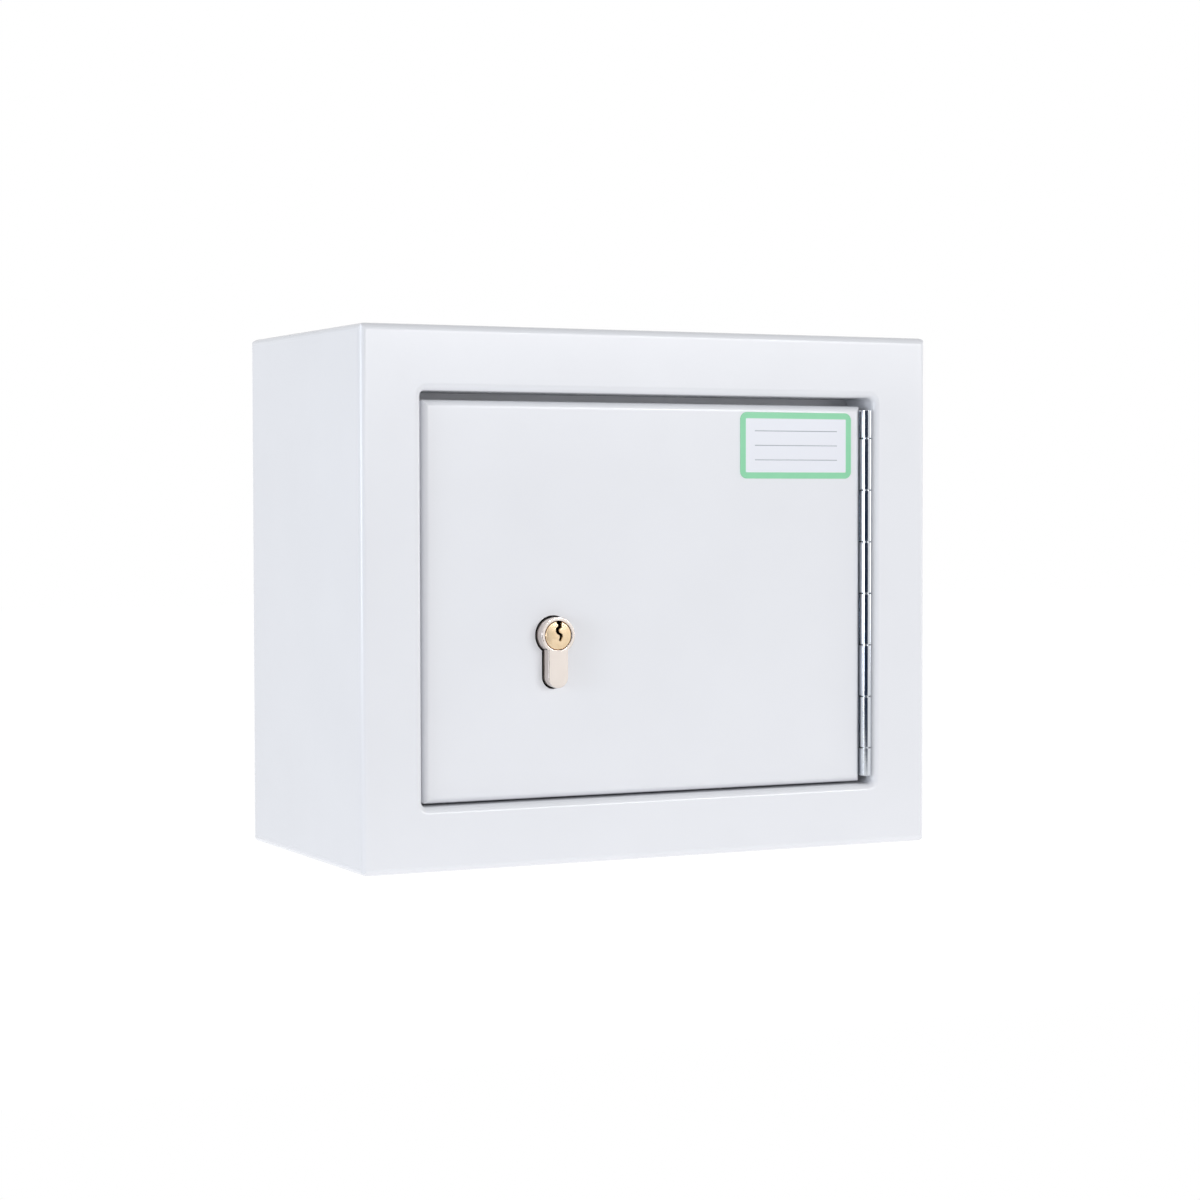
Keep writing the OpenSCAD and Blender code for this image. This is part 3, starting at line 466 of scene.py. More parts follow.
# %% Label film
label_low, label_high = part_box("label")
label_mid, label_half = (label_low + label_high) / 2, (label_high - label_low) / 2
CORNER_R, BORDER_W, INK_EDGE = 3.5 * MM, 3.0 * MM, 0.15 * MM
label_film, tree = new_finish(
    "Printed label film, laminated", IOR=1.5, Roughness=0.22, Coat_Weight=0.6, Coat_Roughness=0.08
)
place = add(tree, "ShaderNodeTexCoord").outputs["Object"]
from_middle = add(
    tree, "ShaderNodeMapping", {"Vector": place, "Location": (-label_mid.x, 0, -label_mid.z)}
)
one_corner = add(tree, "ShaderNodeVectorMath", {0: from_middle}, operation="ABSOLUTE")
core = (label_half.x - CORNER_R, 1.0, label_half.z - CORNER_R)
past_core = add(tree, "ShaderNodeVectorMath", {0: one_corner, 1: core}, operation="SUBTRACT")
outside = add(tree, "ShaderNodeVectorMath", {0: past_core, 1: (0, 0, 0)}, operation="MAXIMUM")
corner_way = add(tree, "ShaderNodeVectorMath", {0: outside}, operation="LENGTH").outputs["Value"]
sides = add(tree, "ShaderNodeSeparateXYZ", {0: past_core}).outputs
deepest = add(tree, "ShaderNodeMath", {0: sides["X"], 1: sides["Z"]}, operation="MAXIMUM")
inside = add(tree, "ShaderNodeMath", {0: deepest, 1: 0.0}, operation="MINIMUM")
to_edge = add(tree, "ShaderNodeMath", {0: corner_way, 1: inside}, operation="ADD")
border_edge = CORNER_R - BORDER_W
in_border = add(
    tree, "ShaderNodeMapRange",
    {"Value": to_edge, "From Min": border_edge - INK_EDGE, "From Max": border_edge + INK_EDGE},
)

# %% [markdown]
# The ruled lines: the height folds back on itself once a pitch, and a line is where it is near
# zero. Two limits keep the lines to the middle of the field, and to their number.

# %% Label lines
LINES, LINE_PITCH, HALF_WIDTH, HALF_LENGTH = 3, 7.0 * MM, 0.2 * MM, 23.0 * MM
height = add(tree, "ShaderNodeSeparateXYZ", {0: from_middle}).outputs["Z"]
from_line = add(tree, "ShaderNodeMath", {0: height, 1: LINE_PITCH / 2}, operation="PINGPONG")
on_line = add(tree, "ShaderNodeMath", {0: from_line, 1: HALF_WIDTH}, operation="LESS_THAN")
away = add(tree, "ShaderNodeSeparateXYZ", {0: one_corner}).outputs
reached = add(tree, "ShaderNodeMath", {0: away["X"], 1: HALF_LENGTH}, operation="LESS_THAN")
half_field = LINES / 2 * LINE_PITCH
low_enough = add(tree, "ShaderNodeMath", {0: away["Z"], 1: half_field}, operation="LESS_THAN")
ruled = add(tree, "ShaderNodeMath", {0: on_line, 1: reached}, operation="MULTIPLY")
ruled = add(tree, "ShaderNodeMath", {0: ruled, 1: low_enough}, operation="MULTIPLY")
field = add(
    tree, "ShaderNodeMix", {0: ruled, 6: srgb("#EAECF3"), 7: srgb("#9BA0A9")}, data_type="RGBA"
)
green = mottled(tree, 8.0, "#7ED09F", "#8BD8AB")
printed = add(
    tree, "ShaderNodeMix", {0: in_border, 6: field.outputs[2], 7: green}, data_type="RGBA"
)
skin(label_film, printed.outputs[2], grain(tree, 6.0, detail=1.0), 0.006)
print("label:", [round(side / MM, 1) for side in label_half * 2], "mm")

# %% [markdown]
# ## Helpers for pieces
# A piece that is made here rides on a body of the model, stands for the model's own node and
# takes its finish from one of the record's slots. All three are said in one place. Real edges
# are never quite sharp: a small bevel catches a line of light on each. Weighted normals then
# keep the flats flat.

# %% Helpers for pieces
def new_piece(name, mesh):
    """Puts a mesh into the scene as a piece of that name."""
    mesh.name = name
    return put(name, mesh)


def made_plain(thing):
    """Turns an object with its modifiers into a plain mesh, and removes the object."""
    bpy.context.view_layer.update()
    evaluated = thing.evaluated_get(bpy.context.evaluated_depsgraph_get())
    mesh = bpy.data.meshes.new_from_object(evaluated)
    bpy.data.objects.remove(thing)
    return mesh


def extent(piece):
    """The piece's lowest and highest corner, in mm."""
    points = [v.co for v in piece.data.vertices]
    return [[round(pick(p[i] for p in points) / MM, 2) for i in range(3)] for pick in (min, max)]


def close_up(mesh):
    """Joins points that lie together and turns every face outwards."""
    shell = bmesh.new()
    shell.from_mesh(mesh)
    bmesh.ops.remove_doubles(shell, verts=shell.verts, dist=0.0005 * MM)
    bmesh.ops.recalc_face_normals(shell, faces=shell.faces)
    shell.to_mesh(mesh)
    shell.free()


def crisp(piece, angle):
    """Shades a piece smooth, and leaves the edges that are sharper than the angle crisp."""
    piece.data.shade_smooth()
    piece.data.set_sharp_from_angle(angle=math.radians(angle))


def keep_flats(piece):
    """Keeps the flats of a smooth piece flat, up to their rounded edges."""
    flats = piece.modifiers.new("Flat flats", "WEIGHTED_NORMAL")
    flats.keep_sharp = True


def soften(piece, width_mm, angle=40):
    """Rounds the edges that are sharper than the angle, and shades the rest smooth."""
    piece.data.shade_smooth()
    bevel = piece.modifiers.new("Soft edges", "BEVEL")
    bevel.width, bevel.segments = width_mm * MM, 2
    bevel.limit_method, bevel.angle_limit = "ANGLE", math.radians(angle)
    bevel.use_clamp_overlap = True
    keep_flats(piece)


def settle(piece, body, nodes, finish=None):
    """Sets the piece on its body, hides the nodes that it stands for, and gives it the finish if
    one is given.
    """
    if finish:
        piece.data.materials.clear()
        piece.data.materials.append(finish)
    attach(piece, body)
    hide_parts(*nodes)
    print(piece.name, "rides on", body, "with", len(piece.data.polygons), "faces")
    print("  from and to, in mm:", *extent(piece))


# %% [markdown]
# ## Starting a Geometry Nodes tree
# Hinge knuckles, rivets and screws repeat, so each is drawn once by a node tree, whose inputs are
# its sizes, and then set out along a row or a grid. A turned shape is a section swept round a
# circle too small to matter, so that the section's own distance from the axis is its radius.

# %% Helpers for Geometry Nodes
SOCKETS = {int: "NodeSocketInt", float: "NodeSocketFloat", tuple: "NodeSocketVector"}
SWEEP_R = 0.0001 * MM
TURNED_SIDES = 28


def shape_tree(name, sizes):
    """A tree with one named input for each size: gives the tree and its inputs."""
    tree = bpy.data.node_groups.new(name, "GeometryNodeTree")
    for label, value in sizes.items():
        kind = SOCKETS[type(value)]
        socket = tree.interface.new_socket(label, in_out="INPUT", socket_type=kind)
        socket.default_value = value
    tree.interface.new_socket("Finish", in_out="INPUT", socket_type="NodeSocketMaterial")
    tree.interface.new_socket("Geometry", in_out="OUTPUT", socket_type="NodeSocketGeometry")
    return tree, add(tree, "NodeGroupInput").outputs


def end_tree(tree, sizes, shape):
    """Makes instances real, sets the finish and ends the tree."""
    real = add(tree, "GeometryNodeRealizeInstances", {0: shape})
    dressed = add(tree, "GeometryNodeSetMaterial", {"Geometry": real, "Material": sizes["Finish"]})
    add(tree, "NodeGroupOutput", {0: dressed})
    print(tree.name.lower() + ": a tree of", len(tree.nodes), "nodes")


def grow(name, tree, finish, sizes):
    """Runs a tree with these sizes and gives what it makes as a piece with a plain mesh."""
    carrier = put("carrier", bpy.data.meshes.new("carrier"))
    shape = carrier.modifiers.new("Shape", "NODES")
    shape.node_group = tree
    given = dict(sizes, Finish=finish)
    for socket in tree.interface.items_tree:
        if socket.name in given:
            shape[socket.identifier] = given[socket.name]
    mesh = made_plain(carrier)
    close_up(mesh)
    return new_piece(name, mesh)


def turned(tree, outline, radius, height):
    """Turns an outline of (radius, height) pairs, each from 0 to 1, to this radius and height.

    A sweep lays the section's own Y downwards, so heights are written negative."""
    points = [(r, -h, 0.0) for r, h in outline]
    line = add(tree, "GeometryNodeCurvePrimitiveLine")
    line = add(tree, "GeometryNodeResampleCurve", {"Curve": line, "Count": len(points)})
    table = add(tree, "GeometryNodeIndexSwitch", data_type="VECTOR")
    while len(table.index_switch_items) < len(points):
        table.index_switch_items.new()
    feed(table, dict(enumerate([add(tree, "GeometryNodeInputIndex"), *points])))
    shape = add(tree, "GeometryNodeSetPosition", {"Geometry": line, "Position": table})
    size = add(tree, "ShaderNodeCombineXYZ", {"X": radius, "Y": height, "Z": 1.0})
    sized = add(tree, "GeometryNodeTransform", {"Geometry": shape, "Scale": size})
    ring = add(
        tree, "GeometryNodeCurvePrimitiveCircle", {"Resolution": TURNED_SIDES, "Radius": SWEEP_R}
    )
    solid = add(tree, "GeometryNodeCurveToMesh", {"Curve": ring, "Profile Curve": sized})
    return add(tree, "GeometryNodeMergeByDistance", {"Geometry": solid, "Distance": 0.001 * MM})


# %% [markdown]
# ## The piano hinge
# A piano hinge is two long strips, whose edges are cut into tabs and rolled round one pin. The
# rolled tabs are the knuckles. They alternate between the leaves, 25.4 mm apart, with a shorter
# one at each end. The roll stops short of the strip, so each knuckle keeps an open seam at its
# back. The tree draws one knuckle as its own strip: a leg that leaves the plate, then 295 degrees
# round the pin. It then sets a copy at every second place and scales it to the knuckle's length.

# %% Knuckle tree
KNUCKLE_POINTS, ROLL_DEGREES = 32, 295
LEG_X, LEG_Y = 2.5 * MM, 3.9 * MM
PLATE_Y, PLATE_Z = 11.15 * MM, -1.0 * MM
hinge_sizes = {
    "Pin Axis": (117.0 * MM, -147.4 * MM, 0.0),
    "Roll Radius": 2.2 * MM,
    "Strip Thickness": 1.0 * MM,
    "Leg Start": (LEG_X, LEG_Y, 0.0),
    "Roll Start": 0.0,
    "Roll Sweep": math.radians(-ROLL_DEGREES),
    "Plate Middle": (LEG_X, PLATE_Y, PLATE_Z),
    "Plate Width": 15.7 * MM,
    "Bottom": -91.0 * MM,
    "Length": 180.0 * MM,
    "Pitch": 25.4 * MM,
    "End Knuckle": 13.8 * MM,
    "Gap": 0.5 * MM,
    "Knuckles": 8,
    "First": 0,
}
hinge_tree, size = shape_tree("Piano hinge leaf", hinge_sizes)

# The roll: point 0 is the start of the leg, and the others go round the pin
number = add(hinge_tree, "GeometryNodeInputIndex")
turn_share = add(
    hinge_tree, "ShaderNodeMapRange",
    {
        "Value": number, "From Min": 1.0, "From Max": KNUCKLE_POINTS - 1.0,
        "To Min": 0.0, "To Max": 1.0,
    },
)
angle = add(
    hinge_tree, "ShaderNodeMath",
    {0: turn_share, 1: size["Roll Sweep"], 2: size["Roll Start"]}, operation="MULTIPLY_ADD",
)
spoke = add(
    hinge_tree, "ShaderNodeCombineXYZ",
    {
        "X": add(hinge_tree, "ShaderNodeMath", {0: angle}, operation="COSINE"),
        "Y": add(hinge_tree, "ShaderNodeMath", {0: angle}, operation="SINE"),
    },
)
on_roll = add(
    hinge_tree, "ShaderNodeVectorMath", {0: spoke, "Scale": size["Roll Radius"]}, operation="SCALE"
)
past_leg = add(hinge_tree, "FunctionNodeCompare", {0: number, 1: 0.5}, operation="GREATER_THAN")
place = add(
    hinge_tree, "GeometryNodeSwitch",
    {"Switch": past_leg, "False": size["Leg Start"], "True": on_roll}, input_type="VECTOR",
)
line = add(hinge_tree, "GeometryNodeCurvePrimitiveLine")
line = add(hinge_tree, "GeometryNodeResampleCurve", {"Curve": line, "Count": KNUCKLE_POINTS})
roll = add(hinge_tree, "GeometryNodeSetPosition", {"Geometry": line, "Position": place})
roll = add(hinge_tree, "GeometryNodeSetCurveNormal", {"Curve": roll}, mode="Z_UP")
strip = add(
    hinge_tree, "GeometryNodeCurvePrimitiveQuadrilateral",
    {"Width": size["Strip Thickness"], "Height": 1.0},
)
knuckle = add(
    hinge_tree, "GeometryNodeCurveToMesh",
    {"Curve": roll, "Profile Curve": strip, "Fill Caps": True},
)
print("knuckle tree has", len(hinge_tree.nodes), "nodes so far")

# %% [markdown]
# The row: knuckle i reaches from joint i to joint i + 1. Joint 0 and the last one are the ends of
# the strip, and the others lie one pitch apart, with half the gap left on either side of each.

# %% Knuckle row and plate
bottom, pitch = size["Bottom"], size["Pitch"]
top = add(hinge_tree, "ShaderNodeMath", {0: bottom, 1: size["Length"]}, operation="ADD")
joint_1 = add(hinge_tree, "ShaderNodeMath", {0: bottom, 1: size["End Knuckle"]}, operation="ADD")
half_gap = add(hinge_tree, "ShaderNodeMath", {0: size["Gap"], 1: 0.5}, operation="MULTIPLY")
upper = add(hinge_tree, "GeometryNodeInputIndex")
lower = add(hinge_tree, "ShaderNodeMath", {0: upper, 1: 1.0}, operation="SUBTRACT")
lower_joint, upper_joint = (
    add(hinge_tree, "ShaderNodeMath", {0: joint, 1: pitch, 2: joint_1}, operation="MULTIPLY_ADD")
    for joint in (lower, upper)
)
low_end = add(hinge_tree, "ShaderNodeMath", {0: lower_joint, 1: half_gap}, operation="ADD")
low_end = add(hinge_tree, "ShaderNodeMath", {0: low_end, 1: bottom}, operation="MAXIMUM")
high_end = add(hinge_tree, "ShaderNodeMath", {0: upper_joint, 1: half_gap}, operation="SUBTRACT")
high_end = add(hinge_tree, "ShaderNodeMath", {0: high_end, 1: top}, operation="MINIMUM")
tall = add(hinge_tree, "ShaderNodeMath", {0: high_end, 1: low_end}, operation="SUBTRACT")
both = add(hinge_tree, "ShaderNodeMath", {0: high_end, 1: low_end}, operation="ADD")
middle = add(hinge_tree, "ShaderNodeMath", {0: both, 1: 0.5}, operation="MULTIPLY")
row = add(hinge_tree, "GeometryNodeMeshLine", {"Count": size["Knuckles"]})
row = add(hinge_tree, "GeometryNodeMeshToPoints", {"Mesh": row})
row = add(
    hinge_tree, "GeometryNodeSetPosition",
    {"Geometry": row, "Position": add(hinge_tree, "ShaderNodeCombineXYZ", {"Z": middle})},
)
parity = add(hinge_tree, "ShaderNodeMath", {0: upper, 1: 2.0}, operation="MODULO")
own = add(
    hinge_tree, "FunctionNodeCompare",
    {0: parity, 1: size["First"], "Epsilon": 0.1}, operation="EQUAL",
)
knuckles = add(
    hinge_tree, "GeometryNodeInstanceOnPoints",
    {
        "Points": row, "Selection": own, "Instance": knuckle,
        "Scale": add(hinge_tree, "ShaderNodeCombineXYZ", {"X": 1.0, "Y": 1.0, "Z": tall}),
    },
)
plate_size = add(
    hinge_tree, "ShaderNodeCombineXYZ",
    {"X": size["Strip Thickness"], "Y": size["Plate Width"], "Z": size["Length"]},
)
plate = add(hinge_tree, "GeometryNodeMeshCube", {"Size": plate_size})
plate = add(
    hinge_tree, "GeometryNodeTransform", {"Geometry": plate, "Translation": size["Plate Middle"]}
)
leaf = add(hinge_tree, "GeometryNodeJoinGeometry", {0: plate})
feed(leaf, {0: knuckles})
leaf = add(
    hinge_tree, "GeometryNodeTransform", {"Geometry": leaf, "Translation": size["Pin Axis"]}
)
end_tree(hinge_tree, size, leaf)


# %% Roll both leaves
DOOR_LEG_X = -1.5 * MM


def roll_start(leg_start, radius, way):
    """The angle where a line from the leg's start touches the roll; way is +1 or -1."""
    x, y, _ = leg_start
    return math.atan2(y, x) + way * math.acos(radius / math.hypot(x, y))


for body, node, leg_x, way, first in (
    ("cabinet", "hinge_frame_leaf", LEG_X, -1, 1),
    ("door", "hinge_door_leaf", DOOR_LEG_X, 1, 0),
):
    leg_start = (leg_x, LEG_Y, 0.0)
    leaf = grow(
        "piano_" + node, hinge_tree, zinc_plate,
        {
            "Leg Start": leg_start,
            "Roll Start": roll_start(leg_start, hinge_sizes["Roll Radius"], way),
            "Roll Sweep": math.radians(way * ROLL_DEGREES),
            "Plate Middle": (leg_x, PLATE_Y, PLATE_Z),
            "First": first,
        },
    )
    soften(leaf, 0.15)
    settle(leaf, body, [node])

# %% [markdown]
# ## Blind rivets
# A blind rivet is pulled from one side. Its factory head is a shallow dome with a hole in the
# middle, where the broken end of the steel mandrel sits, and its tail swells behind the sheets.
# The tree turns one rivet along the vertical, lays it on its side and sets it out up the leaf.

# %% Rivet tree
RIVET_Y = -134.5
rivet_sizes = {
    "Head Radius": 3.75 * MM,
    "Head Height": 1.1 * MM,
    "Shank Radius": 2.0 * MM,
    "Grip": 3.0 * MM,
    "Tail Radius": 2.8 * MM,
    "Tail Length": 2.4 * MM,
    "Seat": (119.0 * MM, RIVET_Y * MM, -67.0 * MM),
    "Quarter Turn": -math.pi / 2,
    "Pitch": 48.0 * MM,
    "Rivets": 4,
}
HEAD = [
    (0.0, 0.0), (1.0, 0.0), (1.0, 0.10), (0.97, 0.24), (0.88, 0.48), (0.74, 0.72), (0.56, 0.92),
    (0.42, 0.99), (0.34, 1.0), (0.30, 0.94), (0.28, 0.30), (0.0, 0.30),
]
MANDREL = [(0.0, 0.0), (1.0, 0.0), (1.0, 0.82), (0.86, 1.0), (0.3, 0.94), (0.0, 0.90)]
MANDREL_R, MANDREL_H = 0.27, 0.72
TAIL = [
    (0.0, 0.0), (0.72, 0.0), (0.92, 0.18), (1.0, 0.45), (0.94, 0.75), (0.7, 0.96), (0.4, 1.0),
    (0.0, 1.0),
]
SHANK = [(0.0, 0.0), (1.0, 0.0), (1.0, 1.0), (0.0, 1.0)]
rivet_tree, size = shape_tree("Blind rivets", rivet_sizes)
mandrel_r, mandrel_h, down, tail_down = (
    add(rivet_tree, "ShaderNodeMath", {0: size[label], 1: share}, operation="MULTIPLY")
    for label, share in (
        ("Head Radius", MANDREL_R), ("Head Height", MANDREL_H),
        ("Grip", -1.0), ("Tail Length", -1.0),
    )
)
tail = turned(rivet_tree, TAIL, size["Tail Radius"], tail_down)
tail_at = add(rivet_tree, "ShaderNodeCombineXYZ", {"Z": down})
rivet = add(rivet_tree, "GeometryNodeJoinGeometry")
for part in (
    turned(rivet_tree, HEAD, size["Head Radius"], size["Head Height"]),
    turned(rivet_tree, MANDREL, mandrel_r, mandrel_h),
    turned(rivet_tree, SHANK, size["Shank Radius"], down),
    add(rivet_tree, "GeometryNodeTransform", {"Geometry": tail, "Translation": tail_at}),
):
    feed(rivet, {0: part})
turn = add(rivet_tree, "ShaderNodeCombineXYZ", {"Y": size["Quarter Turn"]})
turn = add(rivet_tree, "FunctionNodeEulerToRotation", {0: turn})
step = add(rivet_tree, "ShaderNodeCombineXYZ", {"Z": size["Pitch"]})
column = add(
    rivet_tree, "GeometryNodeMeshLine",
    {"Count": size["Rivets"], "Start Location": size["Seat"], "Offset": step},
)
rivets = add(
    rivet_tree, "GeometryNodeInstanceOnPoints",
    {"Points": column, "Instance": rivet, "Rotation": turn},
)
end_tree(rivet_tree, size, rivets)

# %% Set the rivets of both leaves
for body, node, seat_x, low_z, quarter, grip in (
    ("cabinet", "frame_leaf_rivets", 119.0, -67.0, -math.pi / 2, 3.0),
    ("door", "door_leaf_rivets", 116.0, -79.0, math.pi / 2, 4.5),
):
    seat = (seat_x * MM, RIVET_Y * MM, low_z * MM)
    rivets = grow(
        "blind_" + node, rivet_tree, aluminium,
        {"Seat": seat, "Quarter Turn": quarter, "Grip": grip * MM},
    )
    crisp(rivets, 50)
    settle(rivets, body, [node])

# %% [markdown]
# ## Lock case screws
# Four pan head screws hold the lock case to the door. Each head is a low drum with a rounded top
# and a cross recess. The recess is two slots taken out of the head by a Boolean node, one a
# little deeper, because two floors at one height leave broken edges. A two-by-two grid sets the
# screws out.

# %% Screw tree
screw_sizes = {
    "Head Radius": 3.75 * MM,
    "Head Height": 2.2 * MM,
    "Shank Radius": 1.95 * MM,
    "Shank Length": 20.0 * MM,
    "Slot": (4.4 * MM, 0.9 * MM, 2.4 * MM),
    "Middle": (0.0, 0.0, 0.0),
    "Across": 68.0 * MM,
    "Up": 61.5 * MM,
}
PAN_HEAD = [
    (0.0, 0.0), (1.0, 0.0), (1.0, 0.45), (0.97, 0.68), (0.88, 0.86), (0.74, 0.96), (0.5, 1.0),
    (0.0, 1.0),
]
DEEPER = 1.05
screw_tree, size = shape_tree("Pan head screws", screw_sizes)
head = turned(screw_tree, PAN_HEAD, size["Head Radius"], size["Head Height"])
slot = add(screw_tree, "GeometryNodeMeshCube", {"Size": size["Slot"]})
top_of_head = add(screw_tree, "ShaderNodeCombineXYZ", {"Z": size["Head Height"]})
recessed = add(screw_tree, "GeometryNodeMeshBoolean", {"Mesh 1": head}, operation="DIFFERENCE")
for quarter, depth in ((0.0, 1.0), (math.pi / 2, DEEPER)):
    laid = {
        "Geometry": slot, "Translation": top_of_head,
        "Rotation": (0.0, 0.0, quarter), "Scale": (1.0, 1.0, depth),
    }
    feed(recessed, {"Mesh 2": add(screw_tree, "GeometryNodeTransform", laid)})
down = add(screw_tree, "ShaderNodeMath", {0: size["Shank Length"], 1: -1.0}, operation="MULTIPLY")
screw = add(screw_tree, "GeometryNodeJoinGeometry", {0: recessed})
feed(screw, {0: turned(screw_tree, SHANK, size["Shank Radius"], down)})
corners = add(
    screw_tree, "GeometryNodeMeshGrid",
    {"Size X": size["Across"], "Size Y": size["Up"], "Vertices X": 2, "Vertices Y": 2},
)
screws = add(
    screw_tree, "GeometryNodeInstanceOnPoints", {"Points": corners, "Instance": screw}
)
screws = add(
    screw_tree, "GeometryNodeTransform",
    {"Geometry": screws, "Translation": size["Middle"], "Rotation": (-math.pi / 2, 0.0, 0.0)},
)
end_tree(screw_tree, size, screws)

# %% Set the four screws
low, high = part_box("lock_fixing_screws")
head_r, head_h = screw_sizes["Head Radius"], screw_sizes["Head Height"]
case_screws = grow(
    "lock_case_screws", screw_tree, zinc_plate,
    {
        "Middle": ((low.x + high.x) / 2, high.y - head_h, (low.z + high.z) / 2),
        "Across": high.x - low.x - 2 * head_r,
        "Up": high.z - low.z - 2 * head_r,
        "Shank Length": high.y - low.y - head_h,
    },
)
crisp(case_screws, 35)
settle(case_screws, "door", ["lock_fixing_screws"])

# %% [markdown]
# ## The profile cylinder
# The cylinder is a brass extrusion with the standard outline: a round head for the plug, and a
# narrow stem below it for the pins. It is drawn as flat outlines, like the die that it is pressed
# through, and a curve object gives them their length and a small round on every edge. It comes
# in three lengths: before the cam, beside the cam, where only the foot of the stem is left, and
# behind it.

# %% Outlines of the cylinder
# In mm: radii and the stem's drop, then the depths where the three lengths meet
HEAD_R, STEM_R, STEM_DROP = 8.5, 5.0, 19.5
PLUG_R, TAIL_R, FIT = 6.8, 5.0, 0.05
CAM_ROOM = 15.6
CYLINDER_FRONT, CAM_FRONT, CAM_BACK, CYLINDER_BACK = -152.0, -121.75, -112.25, -107.0


def arc(radius, start, end, steps, middle=(0.0, 0.0)):
    """Points in mm along an arc between two angles in degrees."""
    spans = [math.radians(start + (end - start) * i / steps) for i in range(steps + 1)]
    return [(middle[0] + radius * math.cos(a), middle[1] + radius * math.sin(a)) for a in spans]


def bore(radius):
    """The outline in mm of a round hole for a shaft of that radius, in 60 steps of 6 degrees."""
    return arc(radius + FIT, 0, 354, 59)


def pressed(outlines, front, back, edge, grown=0.0):
    """Outlines in mm about the lock's axis, made solid between two depths, as a plain mesh.

    The edges are rounded by edge, and the outline is grown by grown."""
    curve = bpy.data.curves.new("outline", "CURVE")
    curve.dimensions, curve.fill_mode = "2D", "BOTH"
    curve.extrude = (back - front) / 2 - edge
    curve.bevel_depth, curve.offset, curve.bevel_resolution = edge, grown - edge, 2
    for outline in outlines:
        spline = curve.splines.new("POLY")
        spline.points.add(len(outline) - 1)
        for point, (x, z) in zip(spline.points, outline):
            point.co = (x, z, 0.0, 1.0)
        spline.use_cyclic_u = True
    mesh = made_plain(put("carrier", curve))
    stand_up = Matrix.Rotation(math.pi / 2, 4, "X")
    place = Matrix.Translation((LOCK_X, (front + back) / 2 * MM, LOCK_Z))
    mesh.transform(place @ Matrix.Scale(MM, 4) @ stand_up)
    close_up(mesh)
    return mesh


neck = math.degrees(math.asin(STEM_R / HEAD_R))
foot = arc(STEM_R, -180, 0, 20, (0.0, -STEM_DROP))
whole = arc(HEAD_R, -90 + neck, 270 - neck, 60) + foot
room = math.degrees(math.asin(STEM_R / CAM_ROOM))
beside_cam = arc(CAM_ROOM, -90 + room, -90 - room, 12) + foot
lengths = [
    pressed([whole, bore(PLUG_R)], CYLINDER_FRONT, CAM_FRONT, 0.35),
    pressed([beside_cam], CAM_FRONT, CAM_BACK, 0.05),
    pressed([whole, bore(TAIL_R)], CAM_BACK, CYLINDER_BACK, 0.2),
]
print("cylinder lengths have", [len(mesh.polygons) for mesh in lengths], "faces")

# %% [markdown]
# Five pin chambers are drilled up through the stem, and each is closed by a brass plug. The first
# one lies just outside the door, so it shows under the stem. Drills are cylinders here, and a
# Boolean modifier takes them out of the first length.

# %% Drill the chambers and join the lengths
PINS, PIN_PITCH, FIRST_PIN, CHAMBER_R = 5, 4.5, 6.0, 1.5
DRILL_LENGTH, DRILL_DROP = 24, 16.5
drill = bmesh.new()
for pin in range(PINS):
    depth = CYLINDER_FRONT + FIRST_PIN + pin * PIN_PITCH
    bmesh.ops.create_cone(
        drill, cap_ends=True, segments=20,
        radius1=CHAMBER_R * MM, radius2=CHAMBER_R * MM, depth=DRILL_LENGTH * MM,
        matrix=Matrix.Translation((LOCK_X, depth * MM, LOCK_Z - DRILL_DROP * MM)),
    )
drills = new_piece("drills", bpy.data.meshes.new("drills"))
drill.to_mesh(drills.data)
drill.free()
blank = new_piece("blank", lengths[0])
drilled = blank.modifiers.new("Chambers", "BOOLEAN")
drilled.object, drilled.operation, drilled.solver = drills, "DIFFERENCE", "EXACT"
lengths[0] = made_plain(blank)
bpy.data.objects.remove(drills)
joined = bmesh.new()
for mesh in lengths:
    joined.from_mesh(mesh)
cylinder = new_piece("profile_cylinder", bpy.data.meshes.new("profile_cylinder"))
joined.to_mesh(cylinder.data)
joined.free()
crisp(cylinder, 50)
keep_flats(cylinder)
settle(cylinder, "door", ["cylinder_body"], satin_nickel)

# %% [markdown]
# ## The key plug
# The plug is turned with a barely domed face and a chamfered rim, and its winding keyway is
# broached from the front. The dome keeps the face from mirroring one flat patch of the room. The
# plug is a section turned with bmesh, and a Boolean modifier takes out the keyway.

# %% Turn the plug and broach the keyway
# All in mm. Depths and radii; RIM holds how far in from PLUG_R and how far behind the dome
FACE_Y, PLUG_END, END_CHAMFER = -152.3, -105.0, 0.3
CLIP_Y, CLIP_GROOVE, GROOVE_R = -106.85, 0.9, 4.2
DOME, DOME_STEPS, CHAMFER, RIM = 0.2, 8, 0.55, ((0.15, 0.35), (0.0, 0.6))
# The keyway: its cutters start in front of the face, and its points are (x, z) about the axis
CUTTER_START, KEYWAY_DEPTH = FACE_Y - 2, 28.0
MOUTH_DEPTH, MOUTH_GROWN = DOME + 0.3, 0.18
KEYWAY = [
    (-0.9, 7.4), (-0.9, 5.6), (-0.1, 5.1), (-0.2, 4.3), (-1.3, 3.5), (-1.3, 1.8), (-0.7, 0.8),
    (0.6, 0.0), (0.7, -0.7), (0.2, -2.3), (1.1, -2.7), (1.9, -0.6), (1.8, 0.7), (0.6, 1.5),
    (0.2, 2.3), (0.4, 2.9), (1.4, 3.6), (1.5, 5.2), (1.9, 6.0), (1.8, 7.4),
]
# The tongue that turns the cam: its sides, how far from the axis it starts, its middle's depth
TONGUE, TONGUE_FOOT, TONGUE_Y = (2.2, 9.4, 2.5), 4, -117.05


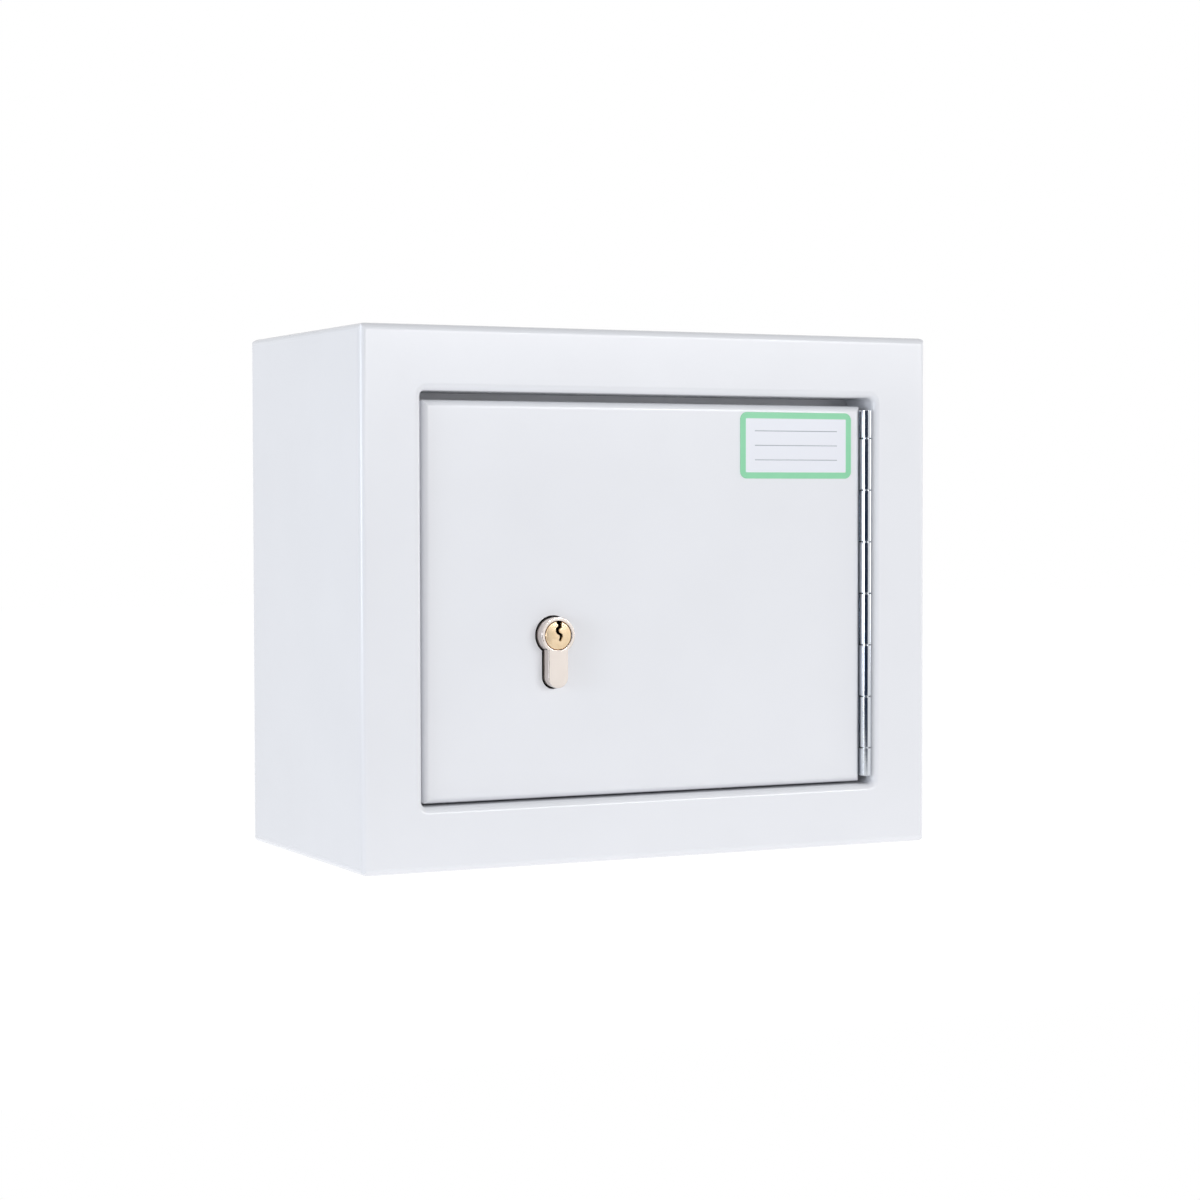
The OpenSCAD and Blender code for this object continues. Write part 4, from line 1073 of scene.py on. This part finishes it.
def lathe(points, name, sides=72):
    """Turns (radius, depth) points in mm about the lock's axis into a closed mesh."""
    stock = bmesh.new()
    ring = [stock.verts.new((radius, depth, 0)) for radius, depth in points]
    edges = [stock.edges.new(pair) for pair in zip(ring, ring[1:])]
    bmesh.ops.spin(
        stock, geom=ring + edges, cent=(0, 0, 0), axis=(0, 1, 0), angle=math.tau, steps=sides,
        use_merge=True,
    )
    mesh = bpy.data.meshes.new(name)
    stock.to_mesh(mesh)
    stock.free()
    mesh.transform(Matrix.Translation((LOCK_X, 0, LOCK_Z)) @ Matrix.Scale(MM, 4))
    close_up(mesh)
    return mesh


flat_r, rim_y, groove_end = PLUG_R - CHAMFER, FACE_Y + DOME, CLIP_Y + CLIP_GROOVE
shares = [i / DOME_STEPS for i in range(DOME_STEPS + 1)]
plug_mesh = lathe(
    [
        *((flat_r * share, FACE_Y + DOME * share**2) for share in shares),
        *((PLUG_R - inset, rim_y + behind) for inset, behind in RIM),
        (PLUG_R, CAM_FRONT), (TAIL_R, CAM_FRONT), (TAIL_R, CLIP_Y), (GROOVE_R, CLIP_Y),
        (GROOVE_R, groove_end), (TAIL_R, groove_end), (TAIL_R, PLUG_END - END_CHAMFER),
        (TAIL_R - END_CHAMFER, PLUG_END), (0, PLUG_END),
    ],
    "plug",
)
plug = new_piece("plug_blank", plug_mesh)
cutters = []
for title, depth, grown in (("keyway", KEYWAY_DEPTH, 0.0), ("mouth", MOUTH_DEPTH, MOUTH_GROWN)):
    cutters.append(new_piece(title, pressed([KEYWAY], CUTTER_START, FACE_Y + depth, 0.0, grown)))
    cut = plug.modifiers.new(title, "BOOLEAN")
    cut.object, cut.operation, cut.solver = cutters[-1], "DIFFERENCE", "EXACT"
plug_mesh = made_plain(plug)
for cutter in cutters:
    bpy.data.objects.remove(cutter)
tongue = bmesh.new()
tongue.from_mesh(plug_mesh)
tongue_x = LOCK_X - (TONGUE_FOOT + TONGUE[0] / 2) * MM
bmesh.ops.create_cube(
    tongue, size=1.0,
    matrix=Matrix.Translation((tongue_x, TONGUE_Y * MM, LOCK_Z))
    @ Matrix.Diagonal((*(side * MM for side in TONGUE), 1.0)),
)
tongue.to_mesh(plug_mesh)
tongue.free()
plug = new_piece("turned_key_plug", plug_mesh)
crisp(plug, 32)
settle(plug, "key_plug", ["key_plug"], brass)

# %% [markdown]
# ## Folded sheet
# The shell, the door pan and the parts inside are cut and folded from sheet. Their bends are in
# the model. Powder flows off a cut edge and leaves it round, so each gets a bevel of a few tenths
# of a millimetre, on a merged copy: the model's own meshes are loose triangles and stay as they
# are. Triangles in one plane are joined into one face first, so that the bevel runs clean.

# %% Merged copies with soft edges
SHEET_EDGES = {
    "body_shell": 0.3, "door_panel": 0.3, "back_panel": 0.3, "anchor_plate": 0.4,
    "upper_stop_bar": 0.3, "lower_stop_bar": 0.3, "bolt_keep": 0.3, "shelf": 0.25,
    "left_shelf_bracket": 0.3, "right_shelf_bracket": 0.3, "door_inner_tray": 0.25,
    "lock_case": 0.25, "lock_cover": 0.25, "dead_bolt": 0.5,
}


def merged(node):
    """A copy of a node's mesh with its triangles joined into flat faces."""
    solid = bmesh.new()
    solid.from_mesh(frame["nodes"][node].data)
    bmesh.ops.remove_doubles(solid, verts=solid.verts, dist=0.001 * MM)
    bmesh.ops.dissolve_limit(
        solid, angle_limit=math.radians(0.5), verts=solid.verts, edges=solid.edges,
        use_dissolve_boundaries=False,
    )
    mesh = bpy.data.meshes.new(node)
    solid.to_mesh(mesh)
    solid.free()
    return mesh


bodies = frame["record"]["behaviour"]["bodies"]
node_body = {node: body for body, nodes in bodies.items() for node in nodes}
node_slot = {
    node: thing.data.materials[0].name.split(".")[0] for node, thing in frame["nodes"].items()
}
FINISHES = {
    "white_powder_coat": powder_coat,
    "bright_zinc_plate": zinc_plate,
    "rivet_aluminium": aluminium,
    "pale_rubber": rubber,
    "hardened_steel": hard_steel,
    "spring_steel": spring_steel,
    "satin_nickel": satin_nickel,
    "satin_nickel_steel": nickel_steel,
    "polished_brass": brass,
    "label_film": label_film,
}
for node, edge in SHEET_EDGES.items():
    soft = new_piece("soft_" + node, merged(node))
    soften(soft, edge, angle=35)
    settle(soft, node_body[node], [node], FINISHES[node_slot[node]])

# %% [markdown]
# ## Finishes of the pieces that stay
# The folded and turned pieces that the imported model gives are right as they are. Each gets the
# finish of its own metal or film.

# %% Dress the remaining nodes
for name, thing in frame["nodes"].items():
    thing.data.materials.clear()
    thing.data.materials.append(FINISHES[node_slot[name]])
print("dressed", len(frame["nodes"]), "nodes")
